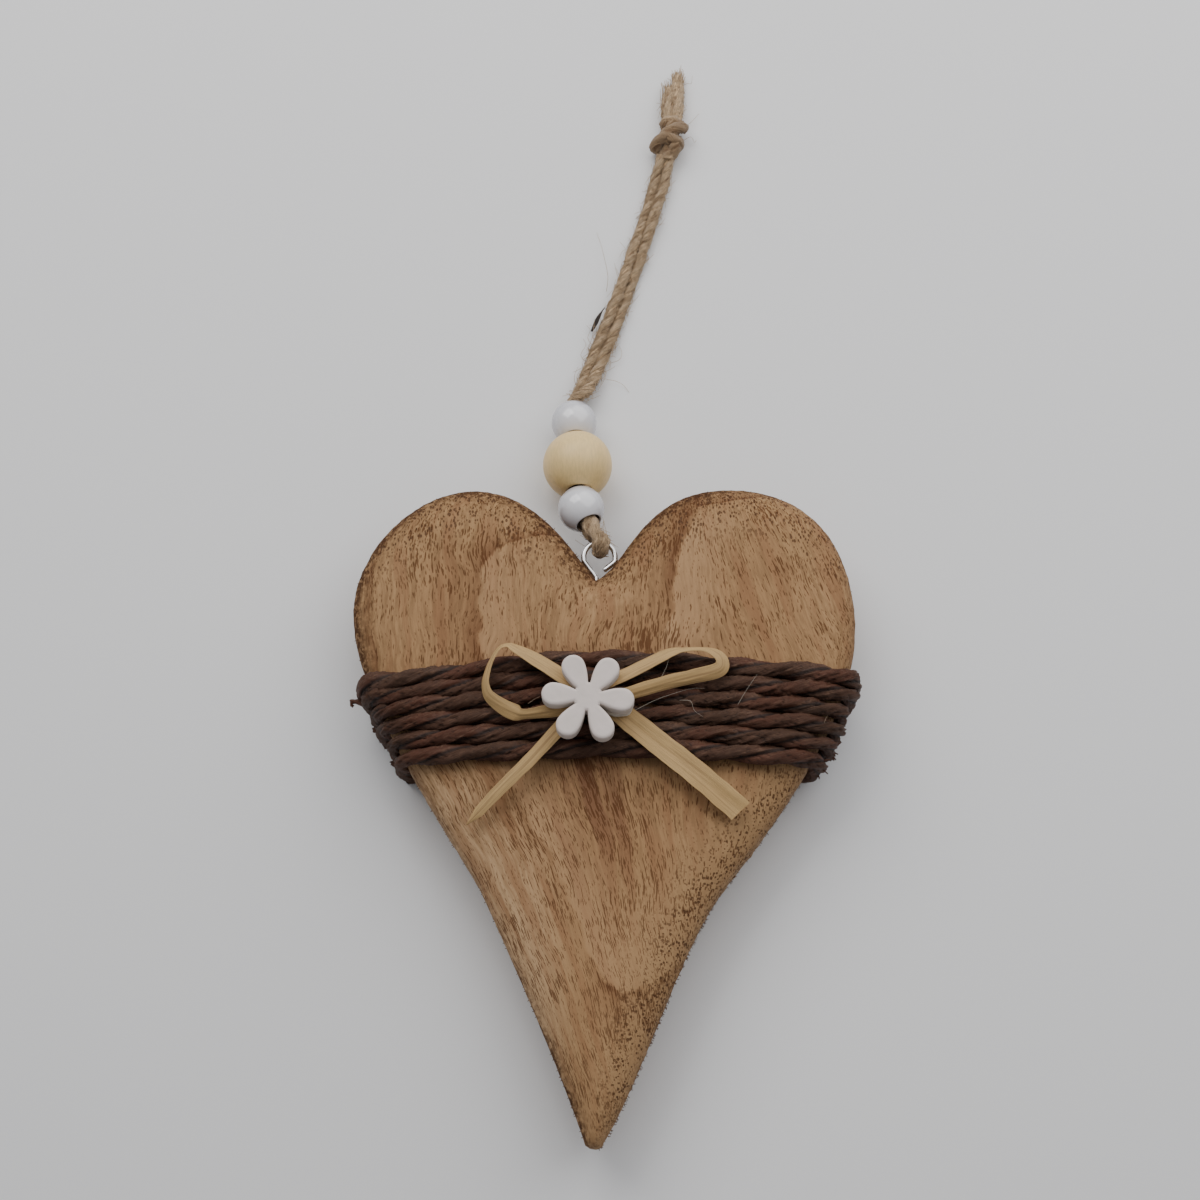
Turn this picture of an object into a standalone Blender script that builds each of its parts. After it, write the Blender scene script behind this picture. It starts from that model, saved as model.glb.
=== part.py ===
# Wooden heart wall decor, lying on its back on a flat surface.
# Metres, +Z up, +X to the right, +Y from the tip towards the lobes and the cord.
# The origin is below the middle of the heart, on the surface that it lies on.

import math

import bmesh
import bpy
from mathutils import Matrix, Vector

# Heart
HEART_LENGTH = 0.1332
TIP_SHARE = 0.4962
HEART_THICKNESS = 0.016
LEFT_WIDTH = 0.0503
RIGHT_WIDTH = 0.0536
CLEFT_DEPTH = 0.0201
FRONT_ROUND_WIDTH = 0.0115
FRONT_ROUND_DROP = 0.0055
BACK_ROUND_WIDTH = 0.0040
BACK_ROUND_DROP = 0.0030

# Screw eye
WIRE_DIAMETER = 0.0011
EYE_RADIUS = 0.0033
EYE_RISE = 0.0061
EYE_OFFSET = 0.0007
EYE_NECK_RISE = 0.0017
EYE_END_X = 0.0016
EYE_END_RISE = 0.0031
SHANK_DEPTH = 0.0105
PILOT_RUNOUT = 0.0040

# Beads
WHITE_BEAD_DIAMETER = 0.0100
NATURAL_BEAD_DIAMETER = 0.0150
BEAD_HOLE_DIAMETER = 0.0056
BEAD_STEPS = 20

# Jute cord
JUTE_DIAMETER = 0.0024
JUTE_POINT_STEP = 2.5
KNOT_LENGTH = 0.0114
KNOT_WIDTH = 0.0076
KNOT_HEIGHT = 0.0062

# Paper cord winding
WRAP_TURNS = 6
WRAP_DIAMETER = 0.0031
WRAP_PITCH_SIDE = 0.00342
WRAP_PITCH_MIDDLE = 0.00365
WRAP_CENTRE_SIDE = 0.0164
WRAP_CENTRE_MIDDLE = 0.0187
WRAP_FLAT = 0.00025
WRAP_END_ON_BACK = 0.009

# Raffia bow and flower
RAFFIA_THICKNESS = 0.0006
LOOP_RIBBON_WIDTH = 0.0030
LEFT_TAIL_WIDTH = 0.0027
RIGHT_TAIL_WIDTH = 0.0048
LOOP_TILT = math.radians(40)
BOW_KNOT_LENGTH = 0.0090
BOW_KNOT_WIDTH = 0.0070
FLOWER_PETALS = 6
FLOWER_RADIUS = 0.0091
FLOWER_THICKNESS = 0.0035
FLOWER_SLIT_RADIUS = 0.0026
FLOWER_SLIT_WIDTH = 0.0004
PETAL_HALF_WIDTH = 0.0023
FLOWER_X = -0.0032
FLOWER_Y = 0.0180

# Touching pieces stand this far apart
GAP = 0.0003

# The line through the tip and the cleft, with the heart's width centred on 0
AXIS_X = (LEFT_WIDTH - RIGHT_WIDTH) / 2

# Heights that follow from the sizes above
HEART_BACK_Z = WRAP_DIAMETER - WRAP_FLAT + GAP
HEART_FRONT_Z = HEART_BACK_Z + HEART_THICKNESS
WRAP_TOP_Z = HEART_FRONT_Z + GAP + WRAP_DIAMETER
BOW_Z = WRAP_TOP_Z + GAP
LOOP_HEIGHT = LOOP_RIBBON_WIDTH * math.cos(LOOP_TILT)
LOOP_Z = BOW_Z + LOOP_HEIGHT / 2 + RAFFIA_THICKNESS / 2
BOW_KNOT_HEIGHT = LOOP_HEIGHT + RAFFIA_THICKNESS
FLOWER_Z = BOW_Z + BOW_KNOT_HEIGHT + GAP
EYE_Z = HEART_BACK_Z + HEART_THICKNESS / 2

TIP_Y = -TIP_SHARE * HEART_LENGTH
CLEFT_Y = TIP_Y + HEART_LENGTH - CLEFT_DEPTH
EYE_X = AXIS_X + EYE_OFFSET
EYE_Y = CLEFT_Y + EYE_RISE

# Each side of the heart is a chain of curves. A point is (share of the side's
# width, share of the length from tip to lobe) and a handle is in the same shares.
LEFT_SIDE = [
    ((0.042, 0.009), (0.095, 0.101), (-0.139, -0.108), (0.464, 0.374)),
    ((0.464, 0.374), (0.191, 0.119), (0.0, -0.127), (1.0, 0.800)),
    ((1.0, 0.800), (0.0, 0.100), (0.245, 0.0), (0.512, 0.998)),
    ((0.512, 0.998), (-0.285, 0.0), (0.075, 0.030), (0.0, 0.0)),
]
RIGHT_SIDE = [
    ((0.028, 0.009), (0.138, 0.084), (-0.167, -0.085), (0.481, 0.373)),
    ((0.481, 0.373), (0.170, 0.087), (0.0, -0.148), (1.0, 0.778)),
    ((1.0, 0.778), (0.0, 0.146), (0.290, 0.0), (0.5205, 1.0)),
    ((0.5205, 1.0), (-0.345, 0.0), (0.125, 0.022), (0.0, 0.0)),
]
SIDE_STEPS = (9, 9, 11, 12)

# Shared line of the two cord legs from the beads to the knot, chosen by hand
CORD_ROUTE = [
    (-0.0045, 0.0955, 0.0029),
    (-0.0026, 0.1007, 0.0014),
    (0.0006, 0.1091, 0.0013),
    (0.0047, 0.1212, 0.0013),
    (0.0076, 0.1302, 0.0013),
    (0.0108, 0.1406, 0.0013),
    (0.0131, 0.1492, 0.0014),
]
KNOT_CENTRE = Vector((0.0156, 0.1601, KNOT_HEIGHT / 2 + 0.0001))
NATURAL_BEAD_X = -0.0057
NATURAL_BEAD_Y = 0.0755
BEAD_LEAN = math.radians(4.3)
TAIL_ROUTES = {
    "jute_tail_left": [(0.0, 0.0, 0.0), (-0.0006, 0.0032, -0.0006), (-0.0009, 0.0085, -0.0012)],
    "jute_tail_right": [(0.0, 0.0, 0.0), (0.0010, 0.0052, -0.0006), (0.0002, 0.0140, -0.0012)],
}

# Centre lines of the bow's strips from above, chosen by hand
LEFT_LOOP = [
    (-0.0052, 0.0212), (-0.0088, 0.0238), (-0.0130, 0.0268), (-0.0172, 0.0294), (-0.0194, 0.0298),
    (-0.0215, 0.0286), (-0.0230, 0.0256), (-0.0234, 0.0225), (-0.0225, 0.0196), (-0.0200, 0.0175),
    (-0.0162, 0.0160), (-0.0106, 0.0160), (-0.0052, 0.0172),
]
RIGHT_LOOP = [
    (-0.0010, 0.0213), (0.0042, 0.0237), (0.0112, 0.0273), (0.0154, 0.0288), (0.0194, 0.0291),
    (0.0224, 0.0280), (0.0233, 0.0262), (0.0217, 0.0246), (0.0172, 0.0233), (0.0122, 0.0220),
    (0.0062, 0.0202), (0.0002, 0.0182),
]
LEFT_TAIL = [(-0.0055, 0.0168), (-0.0092, 0.0126), (-0.0154, 0.0058), (-0.0210, 0.0004), (-0.0268, -0.0056)]
RIGHT_TAIL = [(-0.0004, 0.0186), (0.0040, 0.0154), (0.0110, 0.0098), (0.0190, 0.0033), (0.0266, -0.0030)]
TAIL_DROP = 0.0020


def clear_scene():
    for item in list(bpy.data.objects):
        bpy.data.objects.remove(item, do_unlink=True)


def collection(name, hidden=False):
    made = bpy.data.collections.new(name)
    bpy.context.scene.collection.children.link(made)
    made.hide_render = hidden
    return made


def material(name, colour, roughness, metallic=0.0):
    made = bpy.data.materials.new(name)
    made.use_nodes = True
    shader = made.node_tree.nodes["Principled BSDF"]
    shader.inputs["Base Color"].default_value = (*colour, 1.0)
    shader.inputs["Roughness"].default_value = roughness
    shader.inputs["Metallic"].default_value = metallic
    made.diffuse_color = (*colour, 1.0)
    return made


def add_object(name, data, target, slot=None):
    made = bpy.data.objects.new(name, data)
    target.objects.link(made)
    if slot is not None:
        data.materials.append(slot)
    return made


def smooth(item):
    item.data.shade_smooth()
    item.data.set_sharp_from_angle(angle=math.radians(35))


def cubic(start, out_handle, in_handle, end, t):
    a = (1 - t) ** 3
    b = 3 * (1 - t) ** 2 * t
    c = 3 * (1 - t) * t * t
    d = t ** 3
    return [
        a * start[i] + b * (start[i] + out_handle[i]) + c * (end[i] + in_handle[i]) + d * end[i]
        for i in range(2)
    ]


def side_points(side, width, steps):
    """One side of the outline from the tip to the cleft, as (distance from the axis, y)."""
    points = []
    cleft_share = 1 - CLEFT_DEPTH / HEART_LENGTH
    for index, (start, out_handle, in_handle, end) in enumerate(side):
        if index == len(side) - 1:
            end = (0.0, cleft_share)
        count = steps[index]
        for step in range(count):
            x, y = cubic(start, out_handle, in_handle, end, step / count)
            points.append((x * width, TIP_Y + y * HEART_LENGTH))
    return points


def heart_outline(steps=SIDE_STEPS):
    """The closed outline, anticlockwise from the tip, as (x, y)."""
    right = [(AXIS_X + x, y) for x, y in side_points(RIGHT_SIDE, RIGHT_WIDTH, steps)]
    left = [(AXIS_X - x, y) for x, y in side_points(LEFT_SIDE, LEFT_WIDTH, steps)]
    tip = [(AXIS_X, TIP_Y)]
    return tip + right + [(AXIS_X, CLEFT_Y)] + list(reversed(left))


OUTLINE = heart_outline()
FINE_OUTLINE = heart_outline((18, 18, 22, 24))


def edge_distance(x, y):
    """The distance from a point inside the heart to its outline, and less than 0 outside."""
    best = 1.0
    inside = False
    count = len(FINE_OUTLINE)
    for index in range(count):
        ax, ay = FINE_OUTLINE[index]
        bx, by = FINE_OUTLINE[(index + 1) % count]
        dx, dy = bx - ax, by - ay
        along = ((x - ax) * dx + (y - ay) * dy) / (dx * dx + dy * dy)
        along = min(1.0, max(0.0, along))
        best = min(best, math.hypot(x - ax - along * dx, y - ay - along * dy))
        if (ay > y) != (by > y) and x < ax + (y - ay) * dx / dy:
            inside = not inside
    return best if inside else -best


def round_over(distance, width, drop):
    """How far the face has dropped at that distance from the edge: a quarter of an ellipse."""
    if distance >= width:
        return 0.0
    share = 1 - max(0.0, distance) / width
    return drop * (1 - math.sqrt(max(0.0, 1 - share * share)))


def front_z(x, y):
    return HEART_FRONT_Z - round_over(edge_distance(x, y), FRONT_ROUND_WIDTH, FRONT_ROUND_DROP)


def back_z(x, y):
    return HEART_BACK_Z + round_over(edge_distance(x, y), BACK_ROUND_WIDTH, BACK_ROUND_DROP)


def apply_boolean(target, cutter, operation="DIFFERENCE"):
    """Apply a Boolean to the mesh, so that the cutter needs no later evaluation."""
    modifier = target.modifiers.new("cut", "BOOLEAN")
    modifier.operation = operation
    modifier.solver = "EXACT"
    modifier.object = cutter


def mesh_from_curve(item, target):
    """A mesh object with the curve's shape, for use in a Boolean."""
    depsgraph = bpy.context.evaluated_depsgraph_get()
    mesh = bpy.data.meshes.new_from_object(item.evaluated_get(depsgraph), depsgraph=depsgraph)
    shape = bmesh.new()
    shape.from_mesh(mesh)
    bmesh.ops.remove_doubles(shape, verts=shape.verts, dist=0.000001)
    bmesh.ops.recalc_face_normals(shape, faces=shape.faces)
    shape.to_mesh(mesh)
    shape.free()
    name = item.name
    matrix = item.matrix_world.copy()
    curve = item.data
    bpy.data.objects.remove(item, do_unlink=True)
    bpy.data.curves.remove(curve)
    made = add_object(name, mesh, target)
    made.matrix_world = matrix
    return made


def tube(name, points, diameter, target, slot):
    """A plain tube through the points, with closed ends."""
    curve = bpy.data.curves.new(name, "CURVE")
    curve.dimensions = "3D"
    curve.bevel_depth = diameter / 2
    curve.bevel_resolution = 2
    curve.use_fill_caps = True
    spline = curve.splines.new("POLY")
    spline.points.add(len(points) - 1)
    for place, point in zip(spline.points, points):
        place.co = (*point, 1.0)
    return add_object(name, curve, target, slot)


def smooth_route(points, step):
    """Points about one step apart on a smooth curve through the chosen points."""
    places = [Vector(p) for p in points]
    dense = []
    for index in range(len(places) - 1):
        p1 = places[index]
        p2 = places[index + 1]
        p0 = places[index - 1] if index else 2 * p1 - p2
        p3 = places[index + 2] if index + 2 < len(places) else 2 * p2 - p1
        count = max(1, round((p2 - p1).length / step))
        for part in range(count):
            t = part / count
            dense.append(
                0.5 * (2 * p1 + (p2 - p0) * t + (2 * p0 - 5 * p1 + 4 * p2 - p3) * t * t
                       + (3 * p1 - p0 - 3 * p2 + p3) * t ** 3)
            )
    dense.append(places[-1])
    return dense


def make_heart(target, cutters, slot):
    """The wooden heart: a loft of rings from the back over the edge to the front."""
    middle = Vector((AXIS_X, HEART_LENGTH * 0.15))
    shares = (0.985, 0.965, 0.935, 0.89, 0.84, 0.77, 0.68, 0.5, 0.25)
    back_shares = (0.95, 0.975, 0.99)
    shape = bmesh.new()
    rings = []

    def ring(share, height):
        made = []
        for x, y in OUTLINE:
            px = middle.x + (x - middle.x) * share
            py = middle.y + (y - middle.y) * share
            made.append(shape.verts.new((px, py, height(px, py, share))))
        rings.append(made)

    ring(0.9, lambda x, y, share: HEART_BACK_Z)
    for share in back_shares:
        ring(share, lambda x, y, share: back_z(x, y))
    ring(1.0, lambda x, y, share: HEART_BACK_Z + BACK_ROUND_DROP)
    ring(1.0, lambda x, y, share: HEART_FRONT_Z - FRONT_ROUND_DROP)
    for share in shares:
        ring(share, lambda x, y, share: front_z(x, y))
    count = len(OUTLINE)
    for lower, upper in zip(rings, rings[1:]):
        for index in range(count):
            after = (index + 1) % count
            shape.faces.new((lower[index], lower[after], upper[after], upper[index]))
    shape.faces.new(list(reversed(rings[0])))
    shape.faces.new(rings[-1])
    bmesh.ops.triangulate(shape, faces=[f for f in shape.faces if len(f.verts) > 4])
    bmesh.ops.recalc_face_normals(shape, faces=shape.faces)
    mesh = bpy.data.meshes.new("wooden_heart")
    shape.to_mesh(mesh)
    shape.free()
    heart = add_object("wooden_heart", mesh, target, slot)
    smooth(heart)

    hole_length = SHANK_DEPTH + GAP + PILOT_RUNOUT
    bpy.ops.mesh.primitive_cylinder_add(
        vertices=16,
        radius=WIRE_DIAMETER / 2 + GAP,
        depth=hole_length,
        location=(AXIS_X, CLEFT_Y - SHANK_DEPTH - GAP + hole_length / 2, EYE_Z),
        rotation=(math.pi / 2, 0, 0),
    )
    drill = bpy.context.object
    drill.name = "pilot_hole_cutter"
    drill.display_type = "WIRE"
    for owner in list(drill.users_collection):
        owner.objects.unlink(drill)
    cutters.objects.link(drill)
    apply_boolean(heart, drill)
    return heart


def eye_points():
    """The wire's line: up the shank, round the ring and back to the neck."""
    points = [(AXIS_X, CLEFT_Y - SHANK_DEPTH, EYE_Z), (AXIS_X, CLEFT_Y + 0.4 * EYE_NECK_RISE, EYE_Z)]
    points.append((AXIS_X - 0.0002, CLEFT_Y + EYE_NECK_RISE, EYE_Z))
    start = math.radians(202)
    end = math.radians(-20)
    steps = 16
    for step in range(steps + 1):
        angle = start + (end - start) * step / steps
        points.append((EYE_X + EYE_RADIUS * math.cos(angle), EYE_Y + EYE_RADIUS * math.sin(angle), EYE_Z))
    points.append((AXIS_X + EYE_END_X, CLEFT_Y + EYE_END_RISE, EYE_Z))
    return points


def bead_frame():
    """The middle bead's centre, the string's direction to the eye and the direction over it."""
    middle = Vector((NATURAL_BEAD_X, NATURAL_BEAD_Y, NATURAL_BEAD_DIAMETER / 2 + 0.0001))
    step = bead_step()
    rise = (NATURAL_BEAD_DIAMETER - WHITE_BEAD_DIAMETER) / 2 / step
    level = math.sqrt(1 - rise * rise)
    along = Vector((math.sin(BEAD_LEAN) * level, -math.cos(BEAD_LEAN) * level, rise))
    over = (Vector((0, 0, 1)) - along * along.z).normalized()
    return middle, along, over


def half_bead(diameter):
    """Half the bead's length along its hole."""
    return math.sqrt((diameter / 2) ** 2 - (BEAD_HOLE_DIAMETER / 2) ** 2)


def bead_step():
    return half_bead(WHITE_BEAD_DIAMETER) + half_bead(NATURAL_BEAD_DIAMETER) + GAP


def make_bead(name, centre, along, diameter, target, slot):
    """A round bead with a hole right through, turned from a profile."""
    radius = diameter / 2
    hole = BEAD_HOLE_DIAMETER / 2
    limit = math.asin(hole / radius)
    steps = 9
    profile = bmesh.new()
    chain = []
    for step in range(steps + 1):
        angle = limit + (math.pi - 2 * limit) * step / steps
        chain.append(profile.verts.new((radius * math.sin(angle), 0, radius * math.cos(angle))))
    for start, end in zip(chain, chain[1:]):
        profile.edges.new((start, end))
    profile.edges.new((chain[-1], chain[0]))
    mesh = bpy.data.meshes.new(name)
    profile.to_mesh(mesh)
    profile.free()
    bead = add_object(name, mesh, target, slot)
    turn = bead.modifiers.new("turn", "SCREW")
    turn.axis = "Z"
    turn.steps = BEAD_STEPS
    turn.render_steps = BEAD_STEPS
    turn.use_merge_vertices = True
    turn.merge_threshold = 0.00001
    turn.use_normal_calculate = True
    turn.use_smooth_shade = True
    bead.matrix_world = Matrix.Translation(centre) @ along.to_track_quat("Z", "Y").to_matrix().to_4x4()
    return bead


def leg_points(side):
    """One leg of the doubled cord, from the ring of the eye through the beads to the knot."""
    middle, along, over = bead_frame()
    apart = JUTE_DIAMETER / 2 + GAP / 2
    wire = Vector((EYE_X, EYE_Y + EYE_RADIUS, EYE_Z))
    turn = WIRE_DIAMETER / 2 + GAP + JUTE_DIAMETER / 2 + 0.0001
    points = []
    for degrees in (0, 30, 60, 90):
        angle = math.radians(degrees)
        points.append(wire + Vector((0.0002, -turn * math.cos(angle), side * turn * math.sin(angle))))
    first = middle + along * (bead_step() + half_bead(WHITE_BEAD_DIAMETER) + 0.0006)
    last = middle - along * (bead_step() + half_bead(WHITE_BEAD_DIAMETER) + 0.0006)
    for share in (0.0, 0.25, 0.5, 0.75, 1.0):
        points.append(first.lerp(last, share) + side * apart * over)
    turning = (50, 90)
    for index, place in enumerate(CORD_ROUTE):
        angle = math.radians(turning[min(index, 1)])
        after = Vector(CORD_ROUTE[min(index + 1, len(CORD_ROUTE) - 1)])
        before = Vector(CORD_ROUTE[max(index - 1, 0)])
        across = (after - before).cross(Vector((0, 0, 1))).normalized()
        offset = Vector((0, 0, 1)) * math.cos(angle) + across * math.sin(angle)
        points.append(Vector(place) + side * apart * offset)
    points.append(knot_end(side, -1))
    return points


def knot_direction():
    return (KNOT_CENTRE - Vector(CORD_ROUTE[-1])).normalized()


def knot_end(side, way):
    """Where a leg, or a tail, meets the knot."""
    line = knot_direction()
    flat = Vector((line.x, line.y, 0)).normalized()
    across = flat.cross(Vector((0, 0, 1)))
    apart = JUTE_DIAMETER / 2 + GAP / 2
    return KNOT_CENTRE + way * flat * (KNOT_LENGTH / 2 + GAP) + side * apart * across


def make_cord(target, slot):
    """The doubled cord, its knot and its two tails."""
    step = JUTE_POINT_STEP * JUTE_DIAMETER
    over = leg_points(1)
    under = leg_points(-1)
    bend = 4
    lead = smooth_route(over[bend - 1:], step)
    back = smooth_route(under[bend - 1:], step)
    turn = list(reversed(over[:bend - 1])) + under[1:bend - 1]
    tube("jute_loop", list(reversed(lead)) + turn + back, JUTE_DIAMETER, target, slot)
    bpy.ops.mesh.primitive_uv_sphere_add(segments=16, ring_count=10, radius=0.5)
    knot = bpy.context.object
    knot.name = "jute_knot"
    for owner in list(knot.users_collection):
        owner.objects.unlink(knot)
    target.objects.link(knot)
    knot.data.materials.append(slot)
    line = knot_direction()
    turned = Matrix.Rotation(math.atan2(-line.x, line.y), 4, "Z")
    size = Matrix.Diagonal((KNOT_WIDTH, KNOT_LENGTH, KNOT_HEIGHT, 1.0))
    knot.data.transform(turned @ size)
    knot.location = KNOT_CENTRE
    smooth(knot)
    for name, route in TAIL_ROUTES.items():
        start = knot_end(1 if name == "jute_tail_right" else -1, 1)
        tube(name, smooth_route([start + Vector(p) for p in route], step), JUTE_DIAMETER, target, slot)


def wrap_y(turn, x):
    """The y of a winding's turn, a number that may lie between two turns, at that x."""
    half = LEFT_WIDTH if x < AXIS_X else RIGHT_WIDTH
    share = min(1.0, abs(x - AXIS_X) / half)
    middle = math.cos(share * math.pi / 2) ** 2
    pitch = WRAP_PITCH_SIDE + (WRAP_PITCH_MIDDLE - WRAP_PITCH_SIDE) * middle
    centre = WRAP_CENTRE_SIDE + (WRAP_CENTRE_MIDDLE - WRAP_CENTRE_SIDE) * middle
    return centre + pitch * ((WRAP_TURNS - 1) / 2 - turn)


def x_at_distance(turn, way, distance):
    """The x on that turn, on the left or right side, that far inside the outline."""
    inner = AXIS_X
    outer = AXIS_X + way * 1.05 * max(LEFT_WIDTH, RIGHT_WIDTH)
    for _ in range(26):
        trial = (inner + outer) / 2
        if edge_distance(trial, wrap_y(turn, trial)) > distance:
            inner = trial
        else:
            outer = trial
    return inner


def wrap_point(turn, way, distance, z, outward, upward):
    """A point of the winding's centre line over a point of the heart's section."""
    x = x_at_distance(turn, way, distance)
    y = wrap_y(turn, x)
    small = 0.0002
    slope_x = -(edge_distance(x + small, y) - edge_distance(x - small, y)) / (2 * small)
    length = math.hypot(outward * slope_x, upward)
    reach = (WRAP_DIAMETER / 2 + GAP) / length
    return Vector((x + reach * outward * slope_x / length, y, z + reach * upward / length))


def corner_points(turn, way, front):
    """The winding's bend over the front or back edge, from the face to the side."""
    width = FRONT_ROUND_WIDTH if front else BACK_ROUND_WIDTH
    drop = FRONT_ROUND_DROP if front else BACK_ROUND_DROP
    up = 1 if front else -1
    face = HEART_FRONT_Z if front else HEART_BACK_Z
    points = []
    for degrees in (0, 22, 42, 60, 76, 90) if front else (0, 30, 60, 90):
        angle = math.radians(degrees)
        distance = width * (1 - math.sin(angle)) + 0.00002
        z = face - up * drop * (1 - math.cos(angle))
        outward = drop * math.sin(angle)
        upward = up * width * math.cos(angle)
        length = math.hypot(outward, upward)
        points.append(wrap_point(turn, way, distance, z, outward / length, upward / length))
    return points


def wrap_points():
    """The whole winding: six passes over the front, joined by slanting passes on the back."""
    low = HEART_BACK_Z - GAP - WRAP_DIAMETER / 2
    high = HEART_FRONT_Z + GAP + WRAP_DIAMETER / 2
    points = []
    for turn in range(WRAP_TURNS):
        left = corner_points(turn, -1, False) + list(reversed(corner_points(turn, -1, True)))
        right = corner_points(turn, 1, True) + list(reversed(corner_points(turn, 1, False)))
        if turn == 0:
            start_x = left[0].x + WRAP_END_ON_BACK
            points.append(Vector((start_x, left[0].y, low)))
        points.extend(left)
        for share in (0.25, 0.5, 0.75):
            x = left[-1].x + (right[0].x - left[-1].x) * share
            points.append(Vector((x, wrap_y(turn, x), high)))
        points.extend(right)
        if turn == WRAP_TURNS - 1:
            points.append(Vector((right[-1].x - WRAP_END_ON_BACK, right[-1].y, low)))
    return points


def make_wrap(target, cutters, slot):
    """The paper cord winding, with small flats where it rests on the surface."""
    source = tube("paper_cord_wrap", wrap_points(), WRAP_DIAMETER, target, slot)
    wrap = mesh_from_curve(source, target)
    wrap.data.materials.clear()
    wrap.data.materials.append(slot)
    size = (2 * (LEFT_WIDTH + RIGHT_WIDTH), HEART_LENGTH, 0.004)
    bpy.ops.mesh.primitive_cube_add(size=1, location=(AXIS_X, WRAP_CENTRE_SIDE, -size[2] / 2))
    block = bpy.context.object
    block.name = "wrap_flat_cutter"
    block.data.transform(Matrix.Diagonal((*size, 1.0)))
    block.display_type = "WIRE"
    for owner in list(block.users_collection):
        owner.objects.unlink(block)
    cutters.objects.link(block)
    apply_boolean(wrap, block)
    smooth(wrap)
    return wrap


def ribbon(name, route, heights, width, tilt, target):
    """A flat strip along the route, on edge where tilt is 0 and flat where it is a right angle."""
    curve = bpy.data.curves.new(name, "CURVE")
    curve.dimensions = "3D"
    curve.twist_mode = "Z_UP"
    curve.extrude = width / 2 - RAFFIA_THICKNESS / 2
    curve.bevel_depth = RAFFIA_THICKNESS / 2
    curve.bevel_resolution = 0
    curve.use_fill_caps = True
    chosen = [(x, y, z) for (x, y), z in zip(route, heights)]
    places = smooth_route(chosen, 0.0022)
    spline = curve.splines.new("POLY")
    spline.points.add(len(places) - 1)
    for place, point in zip(spline.points, places):
        place.co = (*point, 1.0)
        place.tilt = tilt
    return mesh_from_curve(add_object(name, curve, target), target)


def make_bow(target, cutters, slot):
    """The raffia bow: two loops and two tails that meet in a small knot."""
    bpy.ops.mesh.primitive_cube_add(
        size=1, location=(FLOWER_X, FLOWER_Y + 0.0008, BOW_Z + BOW_KNOT_HEIGHT / 2)
    )
    bow = bpy.context.object
    bow.name = "raffia_bow"
    bow.data.transform(Matrix.Diagonal((BOW_KNOT_LENGTH, BOW_KNOT_WIDTH, BOW_KNOT_HEIGHT, 1.0)))
    for owner in list(bow.users_collection):
        owner.objects.unlink(bow)
    target.objects.link(bow)
    bow.data.materials.append(slot)
    flat_z = BOW_Z + RAFFIA_THICKNESS / 2
    left_tail_z = [flat_z + 0.0004, flat_z, flat_z, flat_z - 0.3 * TAIL_DROP, flat_z - TAIL_DROP]
    right_tail_z = [flat_z + 0.0013, flat_z + 0.0008, flat_z, flat_z - 0.1 * TAIL_DROP, flat_z - TAIL_DROP]
    flat = math.radians(90)
    strips = [
        ribbon("left_loop", LEFT_LOOP, [LOOP_Z] * len(LEFT_LOOP), LOOP_RIBBON_WIDTH, LOOP_TILT, cutters),
        ribbon("right_loop", RIGHT_LOOP, [LOOP_Z] * len(RIGHT_LOOP), LOOP_RIBBON_WIDTH, -LOOP_TILT, cutters),
        ribbon("left_tail", LEFT_TAIL, left_tail_z, LEFT_TAIL_WIDTH, flat, cutters),
        ribbon("right_tail", RIGHT_TAIL, right_tail_z, RIGHT_TAIL_WIDTH, flat, cutters),
    ]
    for strip in strips:
        strip.display_type = "WIRE"
        apply_boolean(bow, strip, "UNION")
    return bow


def flower_outline():
    """Petals with round tips, parted by narrow slits, as points anticlockwise."""
    points = []
    cap_centre = FLOWER_RADIUS - PETAL_HALF_WIDTH
    spread = math.pi / FLOWER_PETALS
    for petal in range(FLOWER_PETALS):
        turn = math.radians(-5) + 2 * spread * petal
        side = []
        for share in (0.0, 0.5, 1.0):
            r = FLOWER_SLIT_RADIUS + (cap_centre - FLOWER_SLIT_RADIUS) * share
            room = r * math.tan(spread) - FLOWER_SLIT_WIDTH / 2 / math.cos(spread)
            side.append((r, min(room, PETAL_HALF_WIDTH * (0.55 + 0.45 * share))))
        local = [(r, -half) for r, half in side]
        for step in range(1, 8):
            angle = -math.pi / 2 + math.pi * step / 8
            local.append((cap_centre + PETAL_HALF_WIDTH * math.cos(angle), PETAL_HALF_WIDTH * math.sin(angle)))
        local.extend((r, half) for r, half in reversed(side))
        for x, y in local:
            points.append((x * math.cos(turn) - y * math.sin(turn), x * math.sin(turn) + y * math.cos(turn)))
    return points


def make_flower(target, slot):
    curve = bpy.data.curves.new("wooden_flower", "CURVE")
    curve.dimensions = "2D"
    curve.fill_mode = "BOTH"
    curve.extrude = FLOWER_THICKNESS / 2
    spline = curve.splines.new("POLY")
    outline = flower_outline()
    spline.points.add(len(outline) - 1)
    for place, (x, y) in zip(spline.points, outline):
        place.co = (x, y, 0, 1)
    spline.use_cyclic_u = True
    flower = add_object("wooden_flower", curve, target, slot)
    flower.location = (FLOWER_X, FLOWER_Y, FLOWER_Z + FLOWER_THICKNESS / 2)
    return flower


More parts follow.
